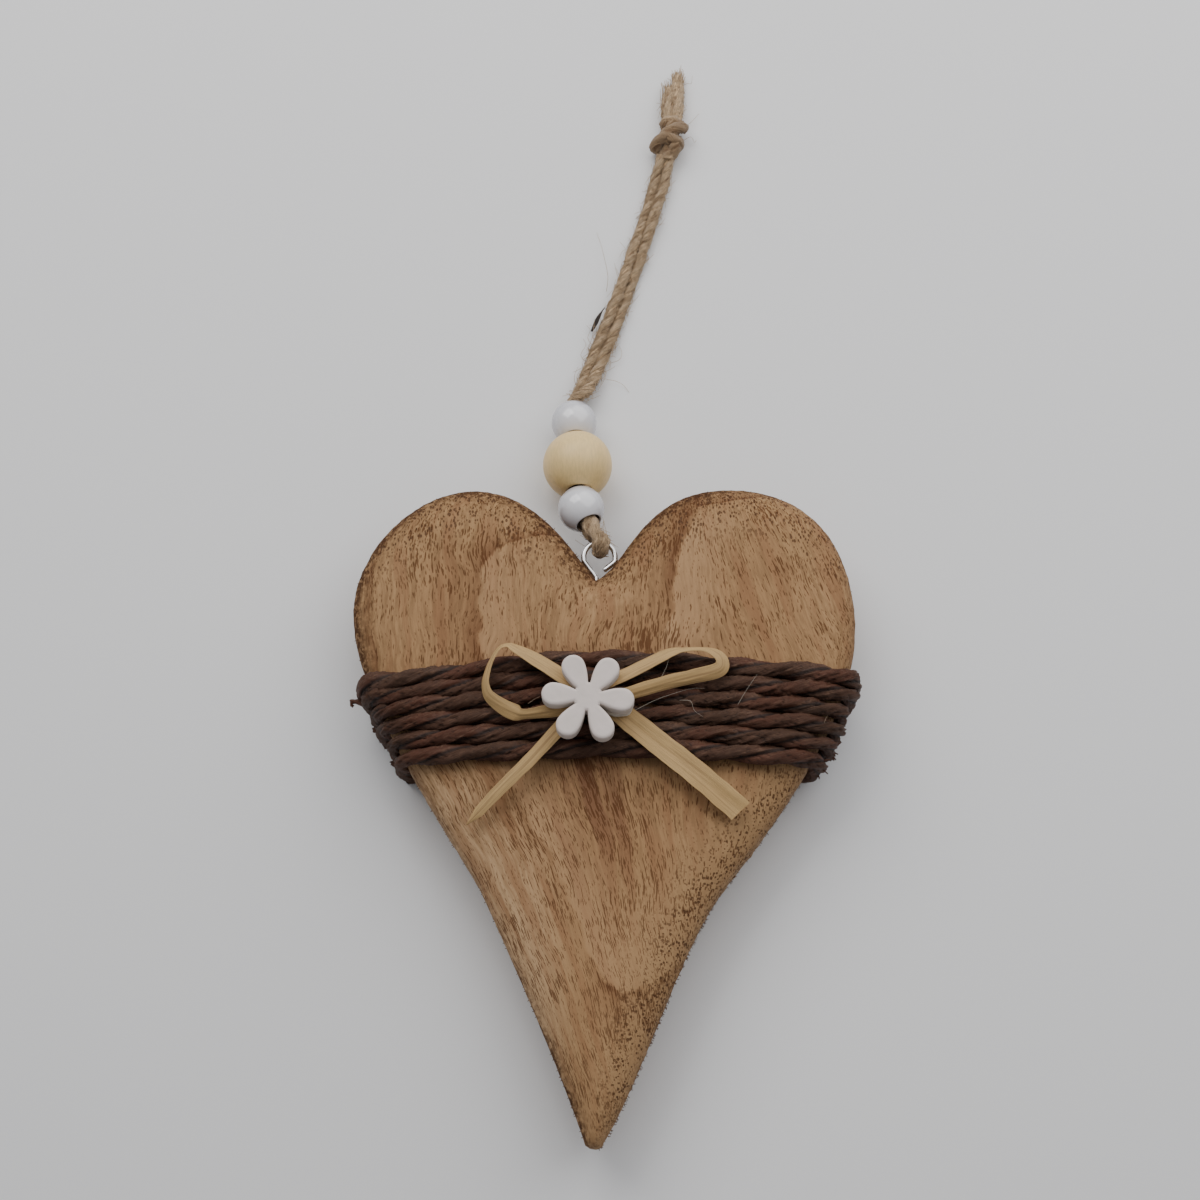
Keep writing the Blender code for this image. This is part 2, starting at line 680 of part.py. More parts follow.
def main():
    clear_scene()
    target = collection("wooden_heart_decor")
    cutters = collection("cutters", hidden=True)
    wood = material("heart_wood", (0.50, 0.31, 0.15), 0.62)
    steel = material("eye_steel", (0.72, 0.72, 0.72), 0.22, 1.0)
    white_lacquer = material("bead_white", (0.80, 0.82, 0.88), 0.18)
    natural_wood = material("bead_natural", (0.80, 0.64, 0.42), 0.50)
    jute = material("jute", (0.42, 0.29, 0.17), 0.90)
    paper = material("wrap_paper", (0.085, 0.040, 0.025), 0.65)
    raffia = material("raffia", (0.72, 0.57, 0.36), 0.70)
    white_paint = material("flower_paint", (0.80, 0.80, 0.80), 0.55)

    make_heart(target, cutters, wood)
    eye = tube("screw_eye", eye_points(), WIRE_DIAMETER, target, steel)
    eye.data.bevel_resolution = 2

    middle, along, over = bead_frame()
    step = bead_step()
    make_bead("bead_lower_white", middle + along * step, along, WHITE_BEAD_DIAMETER, target, white_lacquer)
    make_bead("bead_middle_natural", middle, along, NATURAL_BEAD_DIAMETER, target, natural_wood)
    make_bead("bead_upper_white", middle - along * step, along, WHITE_BEAD_DIAMETER, target, white_lacquer)

    make_cord(target, jute)
    make_wrap(target, cutters, paper)
    make_bow(target, cutters, raffia)
    make_flower(target, white_paint)


main()
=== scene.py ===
import math
import random

import bpy
import numpy as np
from bpy.props import FloatProperty, FloatVectorProperty, IntProperty, PointerProperty
from mathutils import Matrix, Vector, noise


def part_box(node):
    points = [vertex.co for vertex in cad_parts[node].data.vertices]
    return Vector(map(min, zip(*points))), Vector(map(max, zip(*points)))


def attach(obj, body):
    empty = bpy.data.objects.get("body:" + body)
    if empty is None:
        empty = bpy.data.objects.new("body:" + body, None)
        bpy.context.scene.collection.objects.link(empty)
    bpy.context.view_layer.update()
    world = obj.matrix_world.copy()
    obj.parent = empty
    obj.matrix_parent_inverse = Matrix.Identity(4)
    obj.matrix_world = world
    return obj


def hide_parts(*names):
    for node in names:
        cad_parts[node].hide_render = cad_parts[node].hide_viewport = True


bl_info = {
    "name": "Wooden Heart Decor",
    "version": (1, 0, 0),
    "blender": (4, 5, 0),
    "location": "3D View > Sidebar > Heart Decor",
    "description": "Dresses the heart with its wood, paper cord, bow, flower, beads and jute",
    "category": "Object",
}

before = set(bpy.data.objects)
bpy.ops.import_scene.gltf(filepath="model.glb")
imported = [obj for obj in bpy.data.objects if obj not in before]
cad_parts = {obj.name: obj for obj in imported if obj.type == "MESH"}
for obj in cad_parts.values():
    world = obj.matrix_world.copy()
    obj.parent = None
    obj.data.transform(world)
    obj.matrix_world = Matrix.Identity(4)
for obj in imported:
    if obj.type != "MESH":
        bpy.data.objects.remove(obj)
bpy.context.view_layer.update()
MM = 0.001

HEART_LOW, HEART_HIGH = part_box("wooden_heart")
WRAP_LOW, WRAP_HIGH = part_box("paper_cord_wrap")
FLOWER_LOW, FLOWER_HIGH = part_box("wooden_flower")
EYE_LOW, EYE_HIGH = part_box("screw_eye")
KNOT_LOW, KNOT_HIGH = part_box("jute_knot")
BOW_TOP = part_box("raffia_bow")[1].z

# The heart's own shape, as in the solids
HEART_LENGTH = HEART_HIGH.y - HEART_LOW.y
AXIS_X = -0.00165
LEFT_WIDTH = AXIS_X - HEART_LOW.x
RIGHT_WIDTH = HEART_HIGH.x - AXIS_X
CLEFT_DEPTH = 0.0201
CLEFT_Y = HEART_HIGH.y - CLEFT_DEPTH
FRONT_ROUND = (0.0115, 0.0055)
BACK_ROUND = (0.0040, 0.0030)
FINE_STEPS = (46, 46, 54, 64)
COARSE_STEPS = (18, 18, 22, 26)

# Each side of the outline from tip to cleft: point, two handles and point, in
# shares of the side's width and of the heart's length
LEFT_SIDE = [
    ((0.042, 0.009), (0.095, 0.101), (-0.139, -0.108), (0.464, 0.374)),
    ((0.464, 0.374), (0.191, 0.119), (0.0, -0.127), (1.0, 0.800)),
    ((1.0, 0.800), (0.0, 0.100), (0.245, 0.0), (0.512, 0.998)),
    ((0.512, 0.998), (-0.285, 0.0), (0.075, 0.030), (0.0, 0.0)),
]
RIGHT_SIDE = [
    ((0.028, 0.009), (0.138, 0.084), (-0.167, -0.085), (0.481, 0.373)),
    ((0.481, 0.373), (0.170, 0.087), (0.0, -0.148), (1.0, 0.778)),
    ((1.0, 0.778), (0.0, 0.146), (0.290, 0.0), (0.5205, 1.0)),
    ((0.5205, 1.0), (-0.345, 0.0), (0.125, 0.022), (0.0, 0.0)),
]

# The winding's route, as in the solids
WRAP_TURNS = 6
LEFT_SLACK = (-0.3, -0.5, -1.2, -1.1, -1.7, -1.1)
RIGHT_SLACK = (0.0, 0.1, -0.7, -0.2, 0.1, -0.3)
LEFT_SAG = (1.5, 0.8, 0.3, 0.0, 0.0, 0.0)
WRAP_REACH = 0.00178
WRAP_PITCH_SIDE = 0.00342
WRAP_PITCH_MIDDLE = 0.00365
WRAP_CENTRE_SIDE = 0.0164
WRAP_CENTRE_MIDDLE = 0.0187
WRAP_END_NEAR = 0.004
WRAP_END_FAR = 0.009

# Clearances: off the floor, and between the heart's edge and the winding's bend
SMALL_GAP = 0.00002
JUTE_GAP = 0.00003

# The cord's shared line from the beads to the knot, the same points as in the solids
CORD_ROUTE = [
    (-0.0045, 0.0955, 0.0029),
    (-0.0026, 0.1007, 0.0014),
    (0.0006, 0.1091, 0.0013),
    (0.0047, 0.1212, 0.0013),
    (0.0076, 0.1302, 0.0013),
    (0.0108, 0.1406, 0.0013),
    (0.0131, 0.1492, 0.0014),
]
# How far round that line the pair of legs has rolled at each of its points, in degrees
CORD_ROLL = (55, 72, 98, 124, 100, 64, 90)
KNOT_CENTRE = (KNOT_LOW + KNOT_HIGH) / 2
JUTE_APART = 0.00112
JUTE_STEP = 0.0003
EYE_RADIUS = 0.0033
EYE_RISE = 0.0061
EYE_SHIFT = 0.0007
EYE_X = AXIS_X + EYE_SHIFT
EYE_Y = CLEFT_Y + EYE_RISE
EYE_Z = (EYE_LOW.z + EYE_HIGH.z) / 2
WIRE_DIAMETER = EYE_HIGH.z - EYE_LOW.z

BEAD_NAMES = ("bead_lower_white", "bead_middle_natural", "bead_upper_white")
BEAD_DIAMETERS = {"bead_lower_white": 0.0100, "bead_middle_natural": 0.0150, "bead_upper_white": 0.0100}
BEAD_HOLE = 0.0052
BEAD_RIM = 0.00035
LOWER_BEAD_TURN = math.radians(20)

# The camera's place when the photograph was taken
CAMERA_TARGET = Vector((-0.00083, 0.0440, 0.0100))
CAMERA_DISTANCE = 0.366
CAMERA_TILT = math.radians(18)
CAMERA_FIELD = math.radians(38)

LENGTH = dict(subtype="DISTANCE", unit="LENGTH")
COLOUR = dict(size=3, subtype="COLOR")


class DecorSizes(bpy.types.PropertyGroup):
    """Sizes that the solids leave open."""

    jute_strand: FloatProperty(
        name="Jute strand", description="Thickness of one strand", default=0.0025, **LENGTH)
    jute_lay: FloatProperty(
        name="Jute lay", description="Length of one full twist of a jute strand", default=0.0105, **LENGTH)
    paper_cord: FloatProperty(
        name="Paper cord", description="Thickness of the twisted paper cord", default=0.0040, **LENGTH)
    paper_lay: FloatProperty(
        name="Paper lay", description="Length of one full twist of the paper cord", default=0.025, **LENGTH)
    raffia_thickness: FloatProperty(
        name="Raffia thickness", description="Thickness of the raffia strip", default=0.0003, **LENGTH)
    fuzz_count: IntProperty(
        name="Jute hairs", description="Loose hairs on the jute cord", default=700, min=0)


class DecorColours(bpy.types.PropertyGroup):
    """The main colours of the object."""

    wood: FloatVectorProperty(
        name="Wood", description="Light wood", default=(0.395, 0.222, 0.099), **COLOUR)
    pore: FloatVectorProperty(
        name="Pores", description="Dark pores of the wood", default=(0.105, 0.042, 0.017), **COLOUR)
    paper: FloatVectorProperty(
        name="Paper cord", description="Dark brown paper", default=(0.068, 0.027, 0.014), **COLOUR)
    raffia: FloatVectorProperty(
        name="Raffia", description="Pale raffia", default=(0.53, 0.345, 0.150), **COLOUR)
    jute: FloatVectorProperty(
        name="Jute", description="Jute fibre", default=(0.55, 0.385, 0.225), **COLOUR)
    white: FloatVectorProperty(
        name="White", description="White paint of the flower", default=(0.710, 0.622, 0.577), **COLOUR)
    natural: FloatVectorProperty(
        name="Natural bead", description="Bare pale wood", default=(0.80, 0.575, 0.258), **COLOUR)


# Nodes for materials

class Signal:
    """A socket in a material's nodes. Arithmetic on it adds the next node."""

    def __init__(self, socket):
        self.socket = socket
        self.tree = socket.id_data

    def math(self, operation, *others, clamp=False):
        return calculate(self.tree, operation, self, *others, clamp=clamp)

    def __add__(self, other):
        return self.math("ADD", other)

    def __sub__(self, other):
        return self.math("SUBTRACT", other)

    def __rsub__(self, other):
        return calculate(self.tree, "SUBTRACT", other, self)

    def __mul__(self, other):
        return self.math("MULTIPLY", other)

    def __truediv__(self, other):
        return self.math("DIVIDE", other)

    def __pow__(self, other):
        return self.math("POWER", other)

    def most(self, other):
        """The greater of the two."""
        return self.math("MAXIMUM", other)

    def split(self):
        """The three parts of a vector."""
        made = add_node(self.tree, "ShaderNodeSeparateXYZ", {0: self})
        return [Signal(part) for part in made.outputs]

    def noise(self, scale, detail=3.0, rough=0.5):
        """Cloudy noise between 0 and 1 at this place."""
        inputs = {"Vector": self, "Scale": scale, "Detail": detail, "Roughness": rough}
        return Signal(add_node(self.tree, "ShaderNodeTexNoise", inputs).outputs["Fac"])

    def cells(self, scale=1.0):
        """Distance to the nearest of many scattered points."""
        inputs = {"Vector": self, "Scale": scale}
        return Signal(add_node(self.tree, "ShaderNodeTexVoronoi", inputs).outputs["Distance"])

    def remap(self, low, high, to_low=0.0, to_high=1.0, smooth=True):
        """Take one range to another, with soft ends unless smooth is off."""
        inputs = {"Value": self, "From Min": low, "From Max": high, "To Min": to_low, "To Max": to_high}
        kind = "SMOOTHSTEP" if smooth else "LINEAR"
        return Signal(add_node(self.tree, "ShaderNodeMapRange", inputs, interpolation_type=kind).outputs[0])

    def blend(self, a, b):
        """Colour a where this is 0, colour b where it is 1."""
        made = add_node(self.tree, "ShaderNodeMix", {"Factor": self, 6: a, 7: b}, data_type="RGBA")
        return Signal(made.outputs[2])

    def curve(self, points, span, to_span):
        """A smooth line through given (in, out) points, both in millimetres."""
        low, high = span
        to_low, to_high = to_span
        made = add_node(self.tree, "ShaderNodeFloatCurve", {"Value": self.remap(low, high, smooth=False)})
        line = made.mapping.curves[0]
        places = sorted(((p - low) / (high - low), (q - to_low) / (to_high - to_low)) for p, q in points)
        for index, place in enumerate(places):
            if index < 2:
                line.points[index].location = place
            else:
                line.points.new(*place)
        made.mapping.update()
        return Signal(made.outputs[0]).remap(0.0, 1.0, to_low, to_high, smooth=False)


def put(value, socket):
    """Link a signal to a socket, or set a plain number or a colour on it."""
    if isinstance(value, Signal):
        socket.id_data.links.new(value.socket, socket)
    elif isinstance(value, (int, float)):
        socket.default_value = value
    else:
        socket.default_value = (*value, 1.0)


def add_node(tree, kind, inputs, **settings):
    """A new node with its settings, and its inputs by name or number."""
    made = tree.nodes.new(kind)
    for key, value in settings.items():
        setattr(made, key, value)
    for key, value in inputs.items():
        put(value, made.inputs[key])
    return made


def calculate(tree, operation, *values, clamp=False):
    """A maths node on two or three values."""
    inputs = dict(enumerate(values))
    return Signal(add_node(tree, "ShaderNodeMath", inputs, operation=operation, use_clamp=clamp).outputs[0])


def join(x, y, z):
    """A vector from three parts, the first of them a signal."""
    return Signal(add_node(x.tree, "ShaderNodeCombineXYZ", {0: x, 1: y, 2: z}).outputs[0])


def shade(colour, factor):
    """A colour made darker or lighter."""
    return tuple(part * factor for part in colour)


def layered(tone, layers):
    """A colour with others laid over it in turn, each by its own amount."""
    for amount, colour in layers:
        tone = amount.blend(tone, colour)
    return tone


class Looks:
    """A new material, with its shader and the place on the object in millimetres."""

    def __init__(self, name):
        self.material = bpy.data.materials.new(name)
        self.material.use_nodes = True
        self.tree = self.material.node_tree
        self.shader = self.tree.nodes["Principled BSDF"]
        place = Signal(add_node(self.tree, "ShaderNodeTexCoord", {}).outputs["Object"])
        scaled = add_node(self.tree, "ShaderNodeVectorMath", {0: place, "Scale": 1 / MM}, operation="SCALE")
        self.place = Signal(scaled.outputs[0])

    def fact(self, name):
        """A value that the mesh carries at each of its points."""
        return Signal(add_node(self.tree, "ShaderNodeAttribute", {}, attribute_name=name).outputs["Fac"])

    def fibre(self, along, around, scale, detail, rough):
        """Fibres that run along a strand or a strip."""
        place = join(self.fact("along") * along, self.fact("around") * around, 0.0)
        return place.noise(scale, detail, rough)

    def finish(self, colour, roughness, relief=None, others=None):
        """Set the shader. The relief is a height, its strength and its depth in metres."""
        for name, value in {"Base Color": colour, "Roughness": roughness, **(others or {})}.items():
            put(value, self.shader.inputs[name])
        if relief:
            inputs = dict(zip(("Height", "Strength", "Distance"), relief))
            made = add_node(self.tree, "ShaderNodeBump", inputs)
            put(Signal(made.outputs[0]), self.shader.inputs["Normal"])
        return self.material


# The wood: ring lines as (along, across) points in millimetres, the bowl's as (across, along)

ALONG = (-66, 66)
ACROSS = (-60, 60)
EDGE_LINE = [
    (-66, -47), (20, -45.2), (28, -45.5), (36, -47.4), (46, -47.2), (54, -45.4), (60, -41), (66, -34),
]
ARCH_LINE = [
    (-66, 18), (-44, 7), (-37, 1.5), (-30, -2.6), (-11.6, -10), (4, -19), (20, -23), (33, -24.8),
    (44, -25.2), (50, -23.8), (55, -15), (57, -4), (66, 40),
]
LOBE_LINE = [
    (-66, -20), (-10, -6), (10, 4), (32, 12), (39, 13.9), (49, 15.5), (59, 18.6), (63, 20.8), (66, 22.6),
]
BOWL_LINE = [
    (-60, -20), (-12, -18), (-3, -30), (0, -35.5), (4, -37.5), (9, -35.5), (14, -31.5), (22, -27), (60, -5),
]
RING_FADE = [(0.0, 0.0), (0.06, 1.0), (0.22, 0.55), (0.55, 0.16), (1.0, 0.0)]


class Grain:
    """The wood's directions and noises, which its rings, pores and tones share."""

    def __init__(self, place):
        x, y, z = place.split()
        self.place, self.x, self.y, self.z = place, x, y, z
        spread = (y.math("SMOOTH_MIN", 18.0, 12.0) * -0.0105).math("EXPONENT")
        wobble = (place.noise(0.05, 2.0) - 0.5) * 5.0
        shiver = (place.noise(0.40, 2.0) - 0.5) * 0.28
        lean = x.remap(14.0, 34.0) * ((y.most(20.0) - 40.0) * 0.28)
        self.across = (x - 25.0) * spread + lean + (wobble + shiver)
        stretched = join(self.across, y * 0.09, z)
        self.fibres = stretched.noise(1.7, 5.0, 0.65)
        self.streaks = stretched.noise(0.38, 3.0, 0.55)
        ragged = (self.fibres - 0.5) * 3.2
        loose = (place.noise(0.22, 3.0) - 0.5) * 4.0
        self.moved_x = x + (ragged + loose)
        self.moved_y = y + (loose + ragged * 0.3)


def one_sided(gap, width):
    """Dark just past a ring's sharp side and fading away from it. gap is in millimetres."""
    made = add_node(gap.tree, "ShaderNodeValToRGB", {0: gap / width})
    elements = made.color_ramp.elements
    while len(elements) < len(RING_FADE):
        elements.new(0.5)
    for element, (place, grey) in zip(elements, RING_FADE):
        element.position = place
        element.color = (grey, grey, grey, 1)
    return Signal(made.outputs[0])


def past_line(gap, width):
    """1 just past a line, falling to 0 at the width."""
    return gap.remap(0.0, width, 1.0, 0.0) * gap.remap(-0.8, 0.4)


def oval(x, y, centre, radii):
    """0 in the middle of an oval and 1 on its edge."""
    return ((x - centre[0]) / radii[0]) ** 2.0 + ((y - centre[1]) / radii[1]) ** 2.0


def wood_rings(grain):
    """Ring lines, dark on one side only, the fresh wood on the other side, and the bowl low down."""
    x, y, moved_x, moved_y = grain.x, grain.y, grain.moved_x, grain.moved_y
    edge_line = y.curve(EDGE_LINE, ALONG, ACROSS)
    arch_line = y.curve(ARCH_LINE, ALONG, ACROSS)
    lobe_line = y.curve(LOBE_LINE, ALONG, ACROSS)
    bowl_line = x.curve(BOWL_LINE, ACROSS, ALONG)
    rings = one_sided(edge_line - moved_x, 3.6) * 0.95
    for gap, width, strength in (
        (arch_line - moved_x, 14.0, y.remap(-36.0, 24.0, 0.15, 0.95)),
        (lobe_line - moved_x, 16.0, y.remap(18.0, 46.0)),
        (bowl_line - moved_y, 12.0, x.remap(-6.0, 0.0)),
    ):
        rings = rings.most(one_sided(gap, width) * strength)
    rings = rings * grain.streaks.remap(0.34, 0.56, 0.60, 1.0)
    inside = past_line(moved_x - arch_line, 12.0) * y.remap(58.0, 47.0)
    beyond = past_line(moved_x - lobe_line, 14.0) * y.remap(65.0, 54.0)
    bowl_gap = moved_y - bowl_line
    bowl = bowl_gap.remap(-1.2, 2.4) * bowl_gap.remap(2.0, 22.0, 1.0, 0.0)
    fresh = (beyond * y.remap(22.0, 36.0)).most(bowl * x.remap(-4.0, 4.0, 0.0, 0.55))
    return rings, (inside * 0.8).most(fresh), bowl


def wood_stains(grain, bowl):
    """Dark streaks down the middle, a nest of dashes above the winding and a pool below the bowl."""
    off_middle = (grain.x + 2.0 + grain.y * 0.22).math("ABSOLUTE")
    middle = off_middle.remap(1.0, 13.0, 1.0, 0.0) * grain.y.remap(-26.0, 6.0)
    middle = middle * (1.0 - grain.y.remap(24.0, 34.0)) * grain.streaks.remap(0.36, 0.58)
    nest = oval(grain.x, grain.y, (10.0, 31.0), (8.0, 4.5)).remap(0.2, 1.3, 1.0, 0.0)
    pool = oval(grain.moved_x, grain.moved_y, (4.0, -40.0), (10.0, 5.5)).remap(0.1, 1.5, 1.0, 0.0)
    return middle, nest, pool * (1.0 - bowl)


def wood_pores(grain, crowd):
    """Long thin cells along the grain, so they show as dots where the face turns down."""
    reach = grain.place.noise(0.13, 2.0).remap(0.32, 0.68, 0.11, 0.24) + crowd
    found = []
    for wide, long, deep, share, low, high, strength in (
        (2.0, 0.10, 1.5, 0.86, -0.05, 0.05, 1.0),
        (2.3, 0.28, 1.75, 1.14, -0.04, 0.06, 1.0),
        (3.0, 0.60, 2.7, 1.15, -0.05, 0.07, 0.8),
    ):
        holes = join(grain.across * wide, grain.y * long, grain.z * deep).cells()
        found.append((reach * share - holes).remap(low, high, 0.0, strength))
    return found[0].most(found[1]).most(found[2])


def wood_specks(grain, flank, crown):
    """Specks on the rough flank at the lower right, and finer dots on the crown."""
    size = grain.place.noise(0.35, 2.0).remap(0.36, 0.64, 0.20, 0.40)
    specks = (size - grain.place.cells(1.35)).remap(-0.05, 0.06) * flank
    dots = (size - join(grain.x * 1.35, grain.y * 0.75, grain.z).cells(1.15)).remap(-0.05, 0.04)
    return specks.most(dots * crown.remap(0.10, 0.60))


def wood_material(colours):
    """Light wood with pores along the grain, ring lines, a scorched edge and a rough flank."""
    looks = Looks("heart_wood")
    grain = Grain(looks.place)
    x, y = grain.x, grain.y
    rim, flank, burn = looks.fact("rim"), looks.fact("flank"), looks.fact("burn")
    rings, fresh, bowl = wood_rings(grain)
    middle, nest, pool = wood_stains(grain, bowl)
    crown = rim * y.remap(38.0, 56.0, 0.0, 0.85)
    crowd = (rings + middle + crown * 0.55 + (nest + pool * 0.3)) * 0.10
    crowd = crowd + middle * 0.12 + y.remap(4.0, -30.0, 0.0, 0.055)
    pores = wood_pores(grain, crowd)
    specks = wood_specks(grain, flank, crown)
    char = looks.place.noise(0.9, 4.0, 0.65)
    scorch = burn.math("MULTIPLY", char.remap(0.36, 0.60, 0.15, 1.25), clamp=True)
    # Painted light: the lower left slope near the rim is coloured lighter, standing in for light falling on
    # it.
    painted_light_left_slope = rim * x.remap(-4.0, -14.0, 0.0, 0.9) * (y.remap(12.0, 0.0) * y.remap(-62.0, -46.0))
    fibres = grain.fibres.remap(0.36, 0.66, 0.0, 0.85) * y.remap(-30.0, 2.0, 0.40, 1.0)
    tone = looks.place.noise(0.045, 2.0).blend(shade(colours.wood, 0.88), (0.400, 0.236, 0.115))
    tone = layered(tone, (
        (rim * 0.60, (0.450, 0.275, 0.135)),
        (painted_light_left_slope, (0.555, 0.365, 0.205)),
        (crown, (0.365, 0.215, 0.097)),
        (fibres, shade(colours.wood, 0.60)),
        (grain.streaks.remap(0.45, 0.68, 0.0, 0.60), (0.270, 0.132, 0.060)),
        (fresh * 0.45, (0.460, 0.280, 0.148)),
        (rings * 0.84, (0.150, 0.062, 0.024)),
        (pool * 0.30, (0.270, 0.140, 0.064)),
        (middle * 0.72, (0.165, 0.070, 0.036)),
        (flank * 0.62, (0.395, 0.240, 0.115)),
        (pores * 0.82, colours.pore),
        (specks * 0.84, (0.085, 0.036, 0.015)),
        (scorch * 0.88, (0.055, 0.021, 0.009)),
    ))
    height = grain.fibres * 0.5 - pores * 0.8 - specks * 0.7 + char * (burn + flank)
    roughness = pores.most(scorch).remap(0.0, 1.0, 0.60, 0.95)
    return looks.finish(tone, roughness, (height, 0.6, 0.00022), {"Specular IOR Level": 0.15})


def paper_material(colours):
    """Dark twisted paper: reddish and greyish plies, painted shade in the creases, a slight sheen."""
    looks = Looks("wrap_paper")
    fibre = looks.fibre(0.22, 3.2, 2.2, 4.0, 0.6)
    tone = looks.place.noise(0.11, 2.0).remap(0.36, 0.64).blend(colours.paper, (0.088, 0.030, 0.015))
    tone = layered(tone, (
        (looks.fact("ply") * 0.55, (0.062, 0.033, 0.019)),
        (fibre.remap(0.46, 0.74, 0.0, 0.75), (0.170, 0.092, 0.056)),
        # Painted shade in the grooves and slits.
        (looks.fact("crease_shade").remap(0.15, 0.95, 0.0, 0.90), (0.014, 0.007, 0.005)),
    ))
    roughness = fibre.remap(0.2, 0.8, 0.50, 0.70)
    return looks.finish(tone, roughness, (fibre, 0.9, 0.00045), {"Specular IOR Level": 0.30})


def jute_material(colours):
    """Jute: lighter and darker fibres along the twist, painted shade in the grooves, darker at the knot."""
    looks = Looks("jute")
    fibre = looks.fibre(0.20, 4.5, 2.4, 5.0, 0.7)
    tone = fibre.remap(0.40, 0.62).blend(shade(colours.jute, 0.40), shade(colours.jute, 1.34))
    # Painted shade in the grooves, laid on in patches.
    patchy_groove_shade = looks.fact("crease_shade") * looks.place.noise(0.55, 2.0).remap(0.38, 0.62, 0.25, 1.0)
    knot_y = KNOT_CENTRE[1] / MM
    y = looks.place.split()[1]
    # Darker in a band of the cord around the knot.
    darker_round_knot = y.remap(knot_y - 6.5, knot_y - 4.5) * y.remap(knot_y + 5.5, knot_y + 3.5)
    tone = layered(tone, (
        (looks.place.noise(0.5, 3.0).remap(0.45, 0.75, 0.0, 0.4), (0.56, 0.41, 0.265)),
        (darker_round_knot * 0.66, (0.185, 0.110, 0.056)),
        (patchy_groove_shade.remap(0.20, 1.0, 0.0, 0.75), (0.150, 0.078, 0.036)),
    ))
    return looks.finish(tone, 0.85, (fibre, 0.9, 0.00025), {"Specular IOR Level": 0.2, "Sheen Weight": 0.25})


def hair_material(name, colour):
    """Fine hair, thread or splinters of one mottled colour."""
    looks = Looks(name)
    return looks.finish(looks.place.noise(0.8, 2.0).blend(shade(colour, 0.7), shade(colour, 1.25)), 0.7)


def raffia_material(colours):
    """Raffia: matte, with fine fibres along the strip and painted shade in the folds."""
    looks = Looks("raffia")
    fibre = looks.fibre(0.05, 2.4, 3.0, 5.0, 0.65)
    tone = fibre.remap(0.34, 0.66).blend(shade(colours.raffia, 0.66), shade(colours.raffia, 1.10))
    tone = layered(tone, (
        (looks.place.noise(0.12, 2.0).remap(0.4, 0.7, 0.0, 0.35), (0.50, 0.31, 0.125)),
        # Painted shade along the middle fold and the ribs.
        (looks.fact("crease_shade").remap(0.25, 0.9, 0.0, 0.7), (0.27, 0.165, 0.075)),
    ))
    return looks.finish(tone, 0.62, (fibre, 0.6, 0.00012), {"Specular IOR Level": 0.3})


def paint_material(colours):
    """Matte white paint with fine brush grain, and painted shade on the side faces of the petals."""
    looks = Looks("flower_paint")
    grain = looks.place.noise(1.6, 4.0, 0.6)
    patch = looks.place.noise(0.35, 2.0).remap(0.3, 0.7)
    tone = patch.blend(shade(colours.white, 0.99), (0.67, 0.590, 0.540))
    # Painted shade: the side faces are greyed.
    tone = (looks.fact("wall_shade") * 0.55).blend(tone, (0.56, 0.54, 0.50))
    return looks.finish(tone, grain.remap(0.2, 0.8, 0.50, 0.64), (grain, 0.35, 0.00010))


def lacquer_material():
    """Glossy white lacquer over wood, faintly cool, with painted shade in the hole and on its rim."""
    looks = Looks("bead_white")
    facing = Signal(add_node(looks.tree, "ShaderNodeLayerWeight", {"Blend": 0.5}).outputs["Facing"])
    tone = layered(looks.place.noise(0.3, 2.0).blend((0.74, 0.735, 0.76), (0.80, 0.79, 0.81)), (
        # Painted reflection: darker and cooler where the surface turns away, towards the bead's outline.
        (facing.remap(0.15, 0.85), (0.47, 0.475, 0.52)),
        # Painted shade in the hole and on its rim.
        (looks.fact("hole").remap(0.2, 1.0, 0.0, 0.85), (0.16, 0.11, 0.07)),
    ))
    roughness = looks.place.noise(1.2, 3.0).remap(0.2, 0.8, 0.12, 0.22)
    relief = (looks.place.noise(0.9, 2.0), 0.12, 0.0002)
    return looks.finish(tone, roughness, relief, {"Coat Weight": 1.0, "Coat Roughness": 0.04})


def natural_material(colours):
    """Bare pale bead wood with faint grain, with painted shade in the hole and on its rim."""
    looks = Looks("bead_natural")
    x, y, z = looks.place.split()
    grain = join(x * 1.6, y * 0.25, z).noise(1.6, 4.0)
    tone = grain.remap(0.3, 0.7).blend(shade(colours.natural, 0.93), shade(colours.natural, 1.05))
    # Painted shade in the hole and on its rim.
    tone = looks.fact("hole").remap(0.2, 1.0, 0.0, 0.85).blend(tone, (0.13, 0.07, 0.03))
    return looks.finish(tone, grain.remap(0.2, 0.8, 0.38, 0.50), (grain, 0.15, 0.0001))


def steel_material():
    """Bright plated wire with faint drawing lines."""
    looks = Looks("eye_steel")
    lines = looks.place.noise(1.1, 3.0)
    tone = lines.blend((0.60, 0.60, 0.60), (0.82, 0.82, 0.82))
    return looks.finish(tone, lines.remap(0.2, 0.8, 0.10, 0.24), None, {"Metallic": 1.0})


def glue_material():
    """Clear set glue, milky where it is thick."""
    looks = Looks("glue")
    return looks.finish(looks.place.noise(0.8, 2.0).blend((0.42, 0.36, 0.28), (0.60, 0.55, 0.46)), 0.18)


# Meshes

